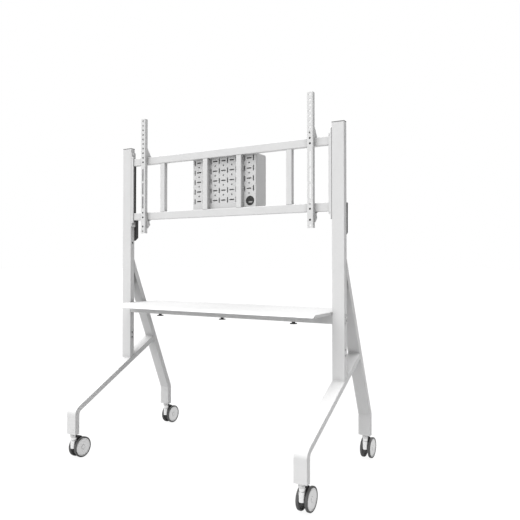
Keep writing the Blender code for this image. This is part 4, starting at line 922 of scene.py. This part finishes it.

# Black pads behind the holes: painted shade inside the bracket channels.
black_pad_shade = finish("black_pad_painted_shade", 0.045, 0.036, 0.08, rough=0.75, grain=0.0010, bump=0.3)
pad_face = bracket_face + PAD_FRONT
for side, sign in SIDES:
    pads = []
    for bottom, top in PAD_SPANS:
        ribs = max(2, round((top - bottom) / PAD_RIB_PITCH))
        step = (top - bottom) / ribs
        pad_side = [(pad_face, bottom + PAD_CHAMFER), (pad_face + PAD_CHAMFER, bottom)]
        for rib in range(ribs):
            start = bottom + rib * step
            for along, depth in ((0.0, PAD_RIB), (0.22, 0.0), (0.78, 0.0), (1.0, PAD_RIB)):
                pad_side.append((flange_back - 0.0004 - depth, start + along * step))
        pad_side += [(pad_face + PAD_CHAMFER, top), (pad_face, top - PAD_CHAMFER)]
        pads.append(board([pad_side], 2 * inside - 0.001, edge=0.0004,
                          at=(sign * BRACKET_X, 0.0, 0.0)))
    fit("bracket_pads_" + side, gathered(pads), black_pad_shade, "black_plastic",
        "bracket_" + side)

# Latches
# White folded levers on riveted pins at the feet of the brackets. Their hooks reach up
# behind the bottom rail and lock the brackets onto it.

LATCH_WALL = 0.002
LATCH_FOLD = 0.0022
NECK_BACK = -0.0056           # the rear edge of its neck
TOE_RISE = 0.0012             # of the lever's toe, above the solid's foot

latch_low, latch_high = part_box("bracket_latch_left")
hook_back = latch_high.y
hook_front = hook_back - LATCH_WALL
cheek = rail_under - RUNNING - LATCH_PIN_HEIGHT
toe = latch_low.z + TOE_RISE
inner = BRACKET_WIDTH / 2 + RUNNING
half = inner + LATCH_WALL
lever = [(hook_front, rail_under - RUNNING)]
lever += arc((LATCH_PIN_Y, LATCH_PIN_HEIGHT), cheek, 90, 165, 10)
lever += [(LATCH_PIN_Y - cheek * 0.72, toe), (LATCH_PIN_Y - cheek * 0.5, toe),
          *arc((LATCH_PIN_Y, LATCH_PIN_HEIGHT), LUG_RADIUS, -62, 62, 12),
          (NECK_BACK, LATCH_PIN_HEIGHT + 0.0080), (NECK_BACK, rail_under - 0.0050),
          (NECK_BACK + 0.0030, rail_under - 0.0030), (hook_back, rail_under - 0.0022),
          (hook_back, latch_high.z), (hook_front, latch_high.z)]
latch = prism(lever, "X", (-half, half))
for way in (1, -1):
    latch = folded(latch, LATCH_FOLD, lambda p: p.y > hook_back - 1e-5 and p.x * way > 0)
hollow = prism([(-0.06, rail_under + 0.1), (hook_front, rail_under + 0.1),
                (hook_front, toe - 0.05), (-0.06, toe - 0.05)], "X", (-inner, inner))
rivets = [spun([(0.0, 0.0013), (0.0020, 0.0012), (0.0034, 0.0008), (0.0043, 0.0002),
                (0.0045, -0.0004), (0.0045, -0.0010), (0.0, -0.0010)], (way, 0, 0),
               (way * half, *pin_at[1:]), sides=32) for way in (-1, 1)]
latch = joined(cut(latch, hollow), rod(PIN_RADIUS, 2 * half - 0.001, (1, 0, 0), pin_at), *rivets)
for side, sign in SIDES:
    fit("latch_lever_" + side, moved(latch, sign * BRACKET_X), white_coat, "white_paint",
        "latch_" + side, "bracket_latch_" + side)

# Front panel of the box
# A punched steel sheet behind the rails, powder coated white. Rows of upright and level
# slots with small round holes let air through and take screws and ties for a player.

DASH_PITCH = 0.0507
DASH_SHIFT = -0.0009          # of the pattern's middle, from the panel's
DASH_ROW_PITCH = 0.0502
DASH_COLUMNS = 7
DASH_ROWS = 5
DASH_LENGTH = 0.028
DASH_WIDTH = 0.0062
DASH_TOP_DROP = 0.029         # of the upper row, below the solid's top
DOT_RADIUS = 0.004
DOT_BELOW_ROW = 0.0235
GROMMET_RADIUS = 0.0235
GROMMET_HOLE = 0.020
BOX_TOP_DROP = 0.006          # of the box's top, below the solid's
SHEET_EDGE = 0.0002           # the rounding of a cut sheet's edges

panel_low, panel_high, panel_middle = room("box_front_panel")
grommet_middle = room("cable_grommet")[2]
grommet_u = grommet_middle.x - panel_middle.x
grommet_v = grommet_middle.z - panel_middle.z
panel_height = panel_high.z - panel_low.z
loops = [[(u, v - BOX_TOP_DROP / 2)
          for u, v in outline(panel_high.x - panel_low.x, panel_height - BOX_TOP_DROP, 0.0015)]]
for row in range(DASH_ROWS):
    v = panel_height / 2 - DASH_TOP_DROP - row * DASH_ROW_PITCH
    for column in range(DASH_COLUMNS + 1):
        u = (column - DASH_COLUMNS / 2) * DASH_PITCH + DASH_SHIFT
        marks = [(u, v, DASH_WIDTH, DASH_LENGTH)]
        if column < DASH_COLUMNS:
            marks.append((u + DASH_PITCH / 2, v, DASH_LENGTH, DASH_WIDTH))
            if row < DASH_ROWS - 1:
                marks.append((u + DASH_PITCH / 2, v - DOT_BELOW_ROW, 2 * DOT_RADIUS, 0.0))
        for at_u, at_v, length, width in marks:
            reach = max(length, width) / 2
            if math.hypot(at_u - grommet_u, at_v - grommet_v) > GROMMET_RADIUS + reach:
                loops.append(slot_loop(at_u, at_v, length, width) if width
                             else circle((at_u, at_v), DOT_RADIUS))
loops.append(circle((grommet_u, grommet_v), GROMMET_HOLE, sides=48))
panel = board(loops, panel_high.y - panel_low.y, SHEET_EDGE, "Y", panel_middle)
# A darker copy of the white coat for the panel and the shelf beam, which stand in shade behind the
# rails and under the tray: painted shade.
shaded_sheet_coat = finish("white_coat_painted_shade", 0.84, 0.81, 0.75, rough=0.44, grain=0.0010, bump=0.16,
                    corner_shade_tone=0.8, corner_shade_reach=0.012)
fit("box_front", panel, shaded_sheet_coat, "white_paint", "rail_frame", "box_front_panel")

# Cable grommet
# A black moulded plug that snaps into the panel, with a lipped slot for a cable and a
# thumb notch above it. A pale flap sits behind both and shows through them.

SLOT_PLACE = (0.002, -0.0066)               # from the grommet's middle
SLOT_SIZE = (0.026, 0.0072)
NOTCH_PLACE = (0.0045, 0.0125)
NOTCH_SIZE = (0.0066, 0.0036)
FLAP_RADIUS = 0.0172
FLAP_BEHIND = 0.0021

grommet_black = finish("black_grommet", 0.024, 0.019, 0.05, rough=0.5, grain=0.0006, bump=0.25)
back_face = panel_low.y - GAP
grommet = spun([(0.0, 0.0014), (0.0165, 0.0014), (0.0176, 0.0011), (0.0186, 0.0013),
                (0.0204, 0.0020), (0.0222, 0.0018), (0.0232, 0.0010), (GROMMET_RADIUS, 0.0003),
                (GROMMET_RADIUS, 0.0), (GROMMET_HOLE - GAP, 0.0), (GROMMET_HOLE - GAP, -0.0058),
                (0.0180, -0.0058), (0.0180, -0.0014), (0.0, -0.0014)], (0, -1, 0),
               (grommet_middle.x, back_face, grommet_middle.z), sides=64)
lip = skin([[(grommet_middle.x + u, back_face - depth, grommet_middle.z + v)
             for u, v in slot_loop(*SLOT_PLACE, SLOT_SIZE[0] + 2 * grow, SLOT_SIZE[1] + 2 * grow)]
            for grow, depth in ((0.0018, 0.0), (0.0018, 0.0012), (0.0012, 0.0019),
                                (0.0003, 0.0020), (0.0, 0.0016), (0.0, 0.0))], caps=True)
ways_through = [prism(slot_loop(*place, *size), "Y", (back_face - 0.02, back_face + 0.02),
                      (grommet_middle.x, grommet_middle.z))
                for place, size in ((SLOT_PLACE, SLOT_SIZE), (NOTCH_PLACE, NOTCH_SIZE))]
grommet = cut(joined(grommet, lip), *ways_through)
fit("grommet", grommet, grommet_black, "black_plastic", "rail_frame", "cable_grommet")
pale_flap_finish = finish("pale_grommet_flap", 0.86, 0.82, 0.78, rough=0.6, grain=0.0008, bump=0.2,
                     corner_shade_tone=0.9)
flap = board([circle((0.0, 0.0), FLAP_RADIUS)], thickness=0.001, edge=0.0002, axis="Y",
             at=(grommet_middle.x, back_face + FLAP_BEHIND, grommet_middle.z))
fit("grommet_flap", flap, pale_flap_finish, "white_paint", "rail_frame", "cable_grommet")

# Box casing
# The box's other walls, folded from one white steel sheet behind the panel, with a rim round
# the door at the rear. The fixed leaves of the door's hinges are riveted to that rim.

BOX_WALL = 0.0015
BOX_EDGE = 0.010
DOOR_FRAME = 0.022
DOOR_CORNER = 0.0006
HINGE_RADIUS = 0.003
HINGE_LENGTH = 0.026
HINGE_INSET = 0.030           # from the door's top and bottom
HINGE_EDGE = 0.0004

case_low, case_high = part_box("box_casing")
case_high.z -= BOX_TOP_DROP
box_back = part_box("box_door")[0].y + BOX_WALL      # the rear face of the casing's rim
box_width = case_high.x - case_low.x
box_height = case_high.z - case_low.z
case_x = (case_low.x + case_high.x) / 2
case_z = (case_low.z + case_high.z) / 2


def walls(grow, front, back, edge):
    """A solid of the box's outline, larger or smaller by grow, with its folded edge."""
    loop = [(u * (box_width / 2 + grow), v * (box_height / 2 + grow))
            for u, v in ((-1, -1), (1, -1), (1, 1), (-1, 1))]
    return folded(prism(loop, "Y", (front, back), (case_x, case_z)), edge,
                  lambda p: p.y > back - 1e-5 and p.z > case_z)


opening_width = box_width - 2 * DOOR_FRAME
opening_height = box_height - 2 * DOOR_FRAME
casing = cut(walls(0.0, case_low.y, box_back, BOX_EDGE),
             walls(-BOX_WALL, case_low.y - 0.01, box_back - BOX_WALL, BOX_EDGE - BOX_WALL),
             prism(outline(opening_width, opening_height, DOOR_CORNER), "Y",
                   (box_back - 0.006, box_back + 0.006), (case_x, case_z)))
hinge_x = case_low.x + DOOR_FRAME
hinge_y = box_back + HINGE_RADIUS
hinge_reach = opening_height / 2 - HINGE_INSET - 1.5 * HINGE_LENGTH


def hinge_part(height, away):
    """A hinge's leaf, which lies on the rim or on the door, and its knuckle."""
    half = HINGE_LENGTH / 2
    knuckle = spun([(0.0, half), (HINGE_RADIUS - HINGE_EDGE, half),
                    (HINGE_RADIUS, half - HINGE_EDGE), (HINGE_RADIUS, HINGE_EDGE - half),
                    (HINGE_RADIUS - HINGE_EDGE, -half), (0.0, -half)],
                   (0, 0, 1), (hinge_x, hinge_y, height), sides=28)
    leaf = board([outline(2 * HINGE_RADIUS, HINGE_LENGTH, 0.0010)], HINGE_RADIUS, HINGE_EDGE, "Y",
                 (hinge_x + away * HINGE_RADIUS, box_back + HINGE_RADIUS / 2 - GAP, height))
    return leaf, knuckle


for hinge in (-1, 1):
    for step in (-1, 1):
        casing = joined(casing, *hinge_part(case_z + hinge * hinge_reach
                                            + step * (HINGE_LENGTH + GAP), -1))
fit("box_shell", casing, white_coat, "white_paint", "rail_frame", "box_casing")

# Rear door and its lock
# A flat white sheet steel door that turns on two lift-off hinges, with a bright cam lock in
# its free side.

LOCK_RADIUS = 0.0095
LOCK_BARREL = 0.0076
KEYWAY = (0.0013, 0.0072)

door = board([outline(opening_width - 2 * RUNNING, opening_height - 2 * RUNNING, DOOR_CORNER)],
             BOX_WALL, SHEET_EDGE, "Y", (case_x, box_back - BOX_WALL / 2, case_z))
lock_x = room("door_lock")[2].x
door = cut(door, rod(LOCK_BARREL + GAP, 0.012, (0, 1, 0), (lock_x, box_back, case_z),
                     sides=36))
for hinge in (-1, 1):
    door = joined(door, *hinge_part(case_z + hinge * hinge_reach, 1))
fit("door_panel", door, white_coat, "white_paint", "rear_door", "box_door")
lock_face = box_back + GAP
lock = spun([(0.0, 0.0022), (0.0052, 0.0022), (0.0055, 0.0026), (0.0060, 0.0030),
             (0.0084, 0.0030), (0.0092, 0.0025), (LOCK_RADIUS, 0.0016), (LOCK_RADIUS, 0.0),
             (LOCK_BARREL, 0.0), (LOCK_BARREL, -0.0155), (0.00684, -0.0160), (0.0, -0.0160)],
            (0, 1, 0), (lock_x, lock_face, case_z), sides=48)
keyway = prism(slot_loop(lock_x, case_z, *KEYWAY), "Y", (lock_face - 0.004, lock_face + 0.01))
fit("lock_barrel", cut(lock, keyway), bright_zinc, "bright_steel", "rear_door", "door_lock")

# Shelf tray
# A tray folded from 1.5 mm sheet, powder coated white: a sloping lip at the front, rims at
# the other sides, and a row of small round holes along the rear for ties.

SHELF_WALL = 0.0015
SHELF_TOP = 0.7525
SHELF_FOLD_Y = -0.2060
SHELF_LIP_DROP = 0.0105
SHELF_RIM = 0.013
SHELF_HOLE = 0.003
SHELF_HOLE_PITCH = 0.017
SHELF_HOLE_INSET = 0.014      # from the rear edge
NOTCH_HALF = 0.0128           # of the rims, where they pass over the beam

low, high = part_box("shelf_tray")
lip_tilt = math.atan2(SHELF_LIP_DROP, SHELF_FOLD_Y - low.y)


def bend(corner, before, after, radius, steps=5):
    """Points round a bend at a corner, given the directions towards its two neighbours."""
    corner, before, after = Vector(corner), Vector(before).normalized(), Vector(after).normalized()
    half_angle = before.angle(after) / 2
    centre = corner + (before + after).normalized() * (radius / math.sin(half_angle))
    first = corner + before * (radius / math.tan(half_angle)) - centre
    last = corner + after * (radius / math.tan(half_angle)) - centre
    points = []
    for step in range(steps + 1):
        share = step / steps
        points.append(tuple(centre + (first * (1 - share) + last * share).normalized() * radius))
    return points


drop = SHELF_WALL / math.cos(lip_tilt)
inset = SHELF_WALL * math.tan(lip_tilt / 2)
slope = (-math.cos(lip_tilt), -math.sin(lip_tilt))
section = [(low.y + 0.0003, -SHELF_LIP_DROP - drop), (low.y, -SHELF_LIP_DROP - drop + 0.0003),
           (low.y, -SHELF_LIP_DROP - 0.0003), (low.y + 0.0003, -SHELF_LIP_DROP)]
section += bend((SHELF_FOLD_Y, 0.0), slope, (1, 0), 0.0030)
section += bend((high.y, 0.0), (-1, 0), (0, -1), 0.0024)
section += [(high.y, -SHELF_RIM), (high.y - SHELF_WALL, -SHELF_RIM)]
section += bend((high.y - SHELF_WALL, -SHELF_WALL), (0, -1), (-1, 0), 0.0009)
section += bend((SHELF_FOLD_Y + inset, -SHELF_WALL), (1, 0), slope, 0.0015)
tray = prism(section, "X", (low.x, high.x), (0.0, SHELF_TOP))
rim_rear = high.y - SHELF_WALL / 2
rims = [board([outline(rim_rear - SHELF_FOLD_Y, SHELF_RIM - SHELF_WALL / 2, 0.0005)],
              SHELF_WALL, SHEET_EDGE, "X",
              (x, (rim_rear + SHELF_FOLD_Y) / 2, SHELF_TOP - (SHELF_RIM + SHELF_WALL / 2) / 2))
        for x in (low.x + SHELF_WALL / 2, high.x - SHELF_WALL / 2)]
notch = prism([(-NOTCH_HALF, -0.0300), (NOTCH_HALF, -0.0300), (NOTCH_HALF, -SHELF_WALL),
               (-NOTCH_HALF, -SHELF_WALL)], "X", (low.x - 0.01, high.x + 0.01),
              (COLUMN_Y, SHELF_TOP))
hole_count = int((high.x - low.x - 2 * SHELF_HOLE_INSET) / SHELF_HOLE_PITCH) + 1
shelf_holes = [rod(SHELF_HOLE, 0.006, (0, 0, 1),
                   ((i - (hole_count - 1) / 2) * SHELF_HOLE_PITCH, high.y - SHELF_HOLE_INSET,
                    SHELF_TOP), sides=16) for i in range(hole_count)]
tray = cut(joined(tray, *rims), notch, gathered(shelf_holes))
# A dimmer copy of the white coat for the tray's lit top, with painted shade reaching 50 mm round
# the columns and legs beside it.
dimmed_tray_coat = finish("white_tray_coat_painted_shade", 0.85, 0.83, 0.75, rough=0.44, grain=0.0010, bump=0.16,
                   corner_shade_tone=0.9, corner_shade_reach=0.05)
fit("shelf_tray_sheet", tray, dimmed_tray_coat, "white_paint", "shelf", "shelf_tray")

# Shelf beam, its bolts and the knobs
# A white tube of 50 x 25 mm between the columns, bolted through them from outside. Three
# black hand knobs below it clamp the tray.

BEAM_DROP = 0.0028            # of its underside, below the solid's
SHELF_HEAD_RADIUS = 0.008
KNOB_PLACES = (-0.400, 0.0, 0.400)
KNOB_FLUTES = 16

low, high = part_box("shelf_beam")
low.z -= BEAM_DROP
# The beam takes the darker copy of the white coat: painted shade under the tray.
fit("shelf_beam_tube", level_tube(low, high), shaded_sheet_coat, "white_paint", "shelf", "shelf_beam")
column_outer = COLUMN_X + LEG_WIDTH / 2 + GAP
for side, sign in SIDES:
    for level, height in zip(("upper", "lower"), SHELF_BOLT_HEIGHTS):
        name = "shelf_bolt_" + level + "_" + side
        fit(name + "_button", button_head(SHELF_HEAD_RADIUS, BOLT_HEAD, (sign, 0, 0),
                                          (sign * column_outer, COLUMN_Y, height)),
            bright_zinc, "bright_steel", "shelf", name)

knob_black = finish("moulded_black_knob", 0.085, 0.070, 0.11, rough=0.55, grain=0.0006, bump=0.25,
                    corner_shade_tone=0.9)


def fluted(radius, depth):
    """A radius with shallow grip flutes round it."""
    return lambda angle: radius - depth * (0.5 + 0.5 * math.cos(KNOB_FLUTES * angle)) ** 3


grip_edge = fluted(0.0166, 0.0009)
grip_side = fluted(0.0175, 0.0012)
grip = [(0.0, 0.012), (0.0036, 0.012), (0.004, 0.0115), (0.004, 0.0), (0.0080, 0.0),
        (0.0085, -0.0006), (0.0078, -0.0030), (0.0085, -0.0054), (0.0120, -0.0064),
        (grip_edge, -0.0066), (grip_side, -0.0074), (grip_side, -0.0094), (grip_edge, -0.0103),
        (0.0120, -0.0105), (0.0060, -0.0100), (0.0, -0.0098)]
for number, x in enumerate(KNOB_PLACES, start=1):
    knob = spun(grip, (0, 0, 1), (x, COLUMN_Y, low.z - GAP), sides=96)
    fit("shelf_knob_grip_" + str(number), knob, knob_black, "black_plastic", "shelf",
        "shelf_knob_" + str(number))

# Studio
# A plain pale floor and backdrop under a very soft overhead light, with a second soft light
# from the front left. The camera stands where the photograph's did, right of the stand.

BACKDROP = 1.0                # how bright it looks to the camera
FLOOR_SIZE = 60.0
FLOOR_BELOW = 0.0002          # the casters
FLOOR_GLOW = 0.93             # of the white floor as it is seen
FLOOR_SEEN = 0.11
FLOOR_BOUNCE = 0.38           # its tone for the light that it throws back up
DOME = 0.12                   # light from all round
SOFTBOXES = (((-0.15, -0.10, 1.00), 4.7, 5.0),        # towards it, strength, and falloff
             ((-0.50, -0.86, 0.15), 0.84, 2.0))

floor_work = bmesh.new()
bmesh.ops.create_grid(floor_work, x_segments=8, y_segments=8, size=FLOOR_SIZE)
floor_mesh = bpy.data.meshes.new("studio_floor")
floor_work.to_mesh(floor_mesh)
floor_work.free()
floor = bpy.data.objects.new("studio_floor", floor_mesh)
floor.location.z = -FLOOR_BELOW
bpy.context.scene.collection.objects.link(floor)
floor_paper = bpy.data.materials.new("studio_paper")
floor_paper.use_nodes = True
floor_paper.cycles.emission_sampling = "NONE"
tree = floor_paper.node_tree
paper = tree.nodes["Principled BSDF"]
path = add(tree, "LightPath")
paper_tone = blend(tree, path.outputs["Is Diffuse Ray"], grey(FLOOR_SEEN), grey(FLOOR_BOUNCE))
glow = add(tree, "MapRange", {"Value": path.outputs["Is Diffuse Ray"], "To Min": FLOOR_GLOW,
                              "To Max": 0.0})
tree.links.new(paper_tone, paper.inputs["Base Color"])
tree.links.new(glow.outputs["Result"], paper.inputs["Emission Strength"])
paper.inputs["Emission Color"].default_value = grey(1.0)
paper.inputs["Roughness"].default_value = 1.0
paper.inputs["Specular IOR Level"].default_value = 0.0
floor_mesh.materials.append(floor_paper)

world = bpy.data.worlds.new("studio_surround")
bpy.context.scene.world = world
world.use_nodes = True
sky = world.node_tree
surround = sky.nodes["Background"]
surround.inputs["Color"].default_value = grey(1.0)
heading = add(sky, "TexCoord")
light = add(sky, "Value")
light.outputs[0].default_value = DOME
for towards, strength, falloff in SOFTBOXES:
    facing = add(sky, "VectorMath", {0: heading.outputs["Generated"],
                                     1: Vector(towards).normalized()}, operation="DOT_PRODUCT")
    near_box = add(sky, "Math", {0: facing.outputs["Value"], 1: 0.0}, operation="MAXIMUM")
    box_glow = add(sky, "Math", {0: near_box.outputs[0], 1: falloff}, operation="POWER")
    light = add(sky, "Math", {0: box_glow.outputs[0], 1: strength, 2: light.outputs[0]},
                operation="MULTIPLY_ADD")
path = add(sky, "LightPath")
tone = add(sky, "Mix", {0: path.outputs["Is Camera Ray"], 2: light.outputs[0], 3: BACKDROP},
           data_type="FLOAT")
sky.links.new(tone.outputs[0], surround.inputs["Strength"])

camera_data = bpy.data.cameras.new("camera")
camera_data.lens = 39.45
camera_data.sensor_width = 36.0
camera_data.shift_y = -0.0202
camera = bpy.data.objects.new("camera", camera_data)
camera.location = (1.60342, -2.39725, 0.97997)
camera.rotation_euler = (math.radians(91.18), 0.0, math.radians(30.11))
bpy.context.scene.collection.objects.link(camera)
bpy.context.scene.camera = camera
bpy.context.scene.view_settings.view_transform = "Standard"
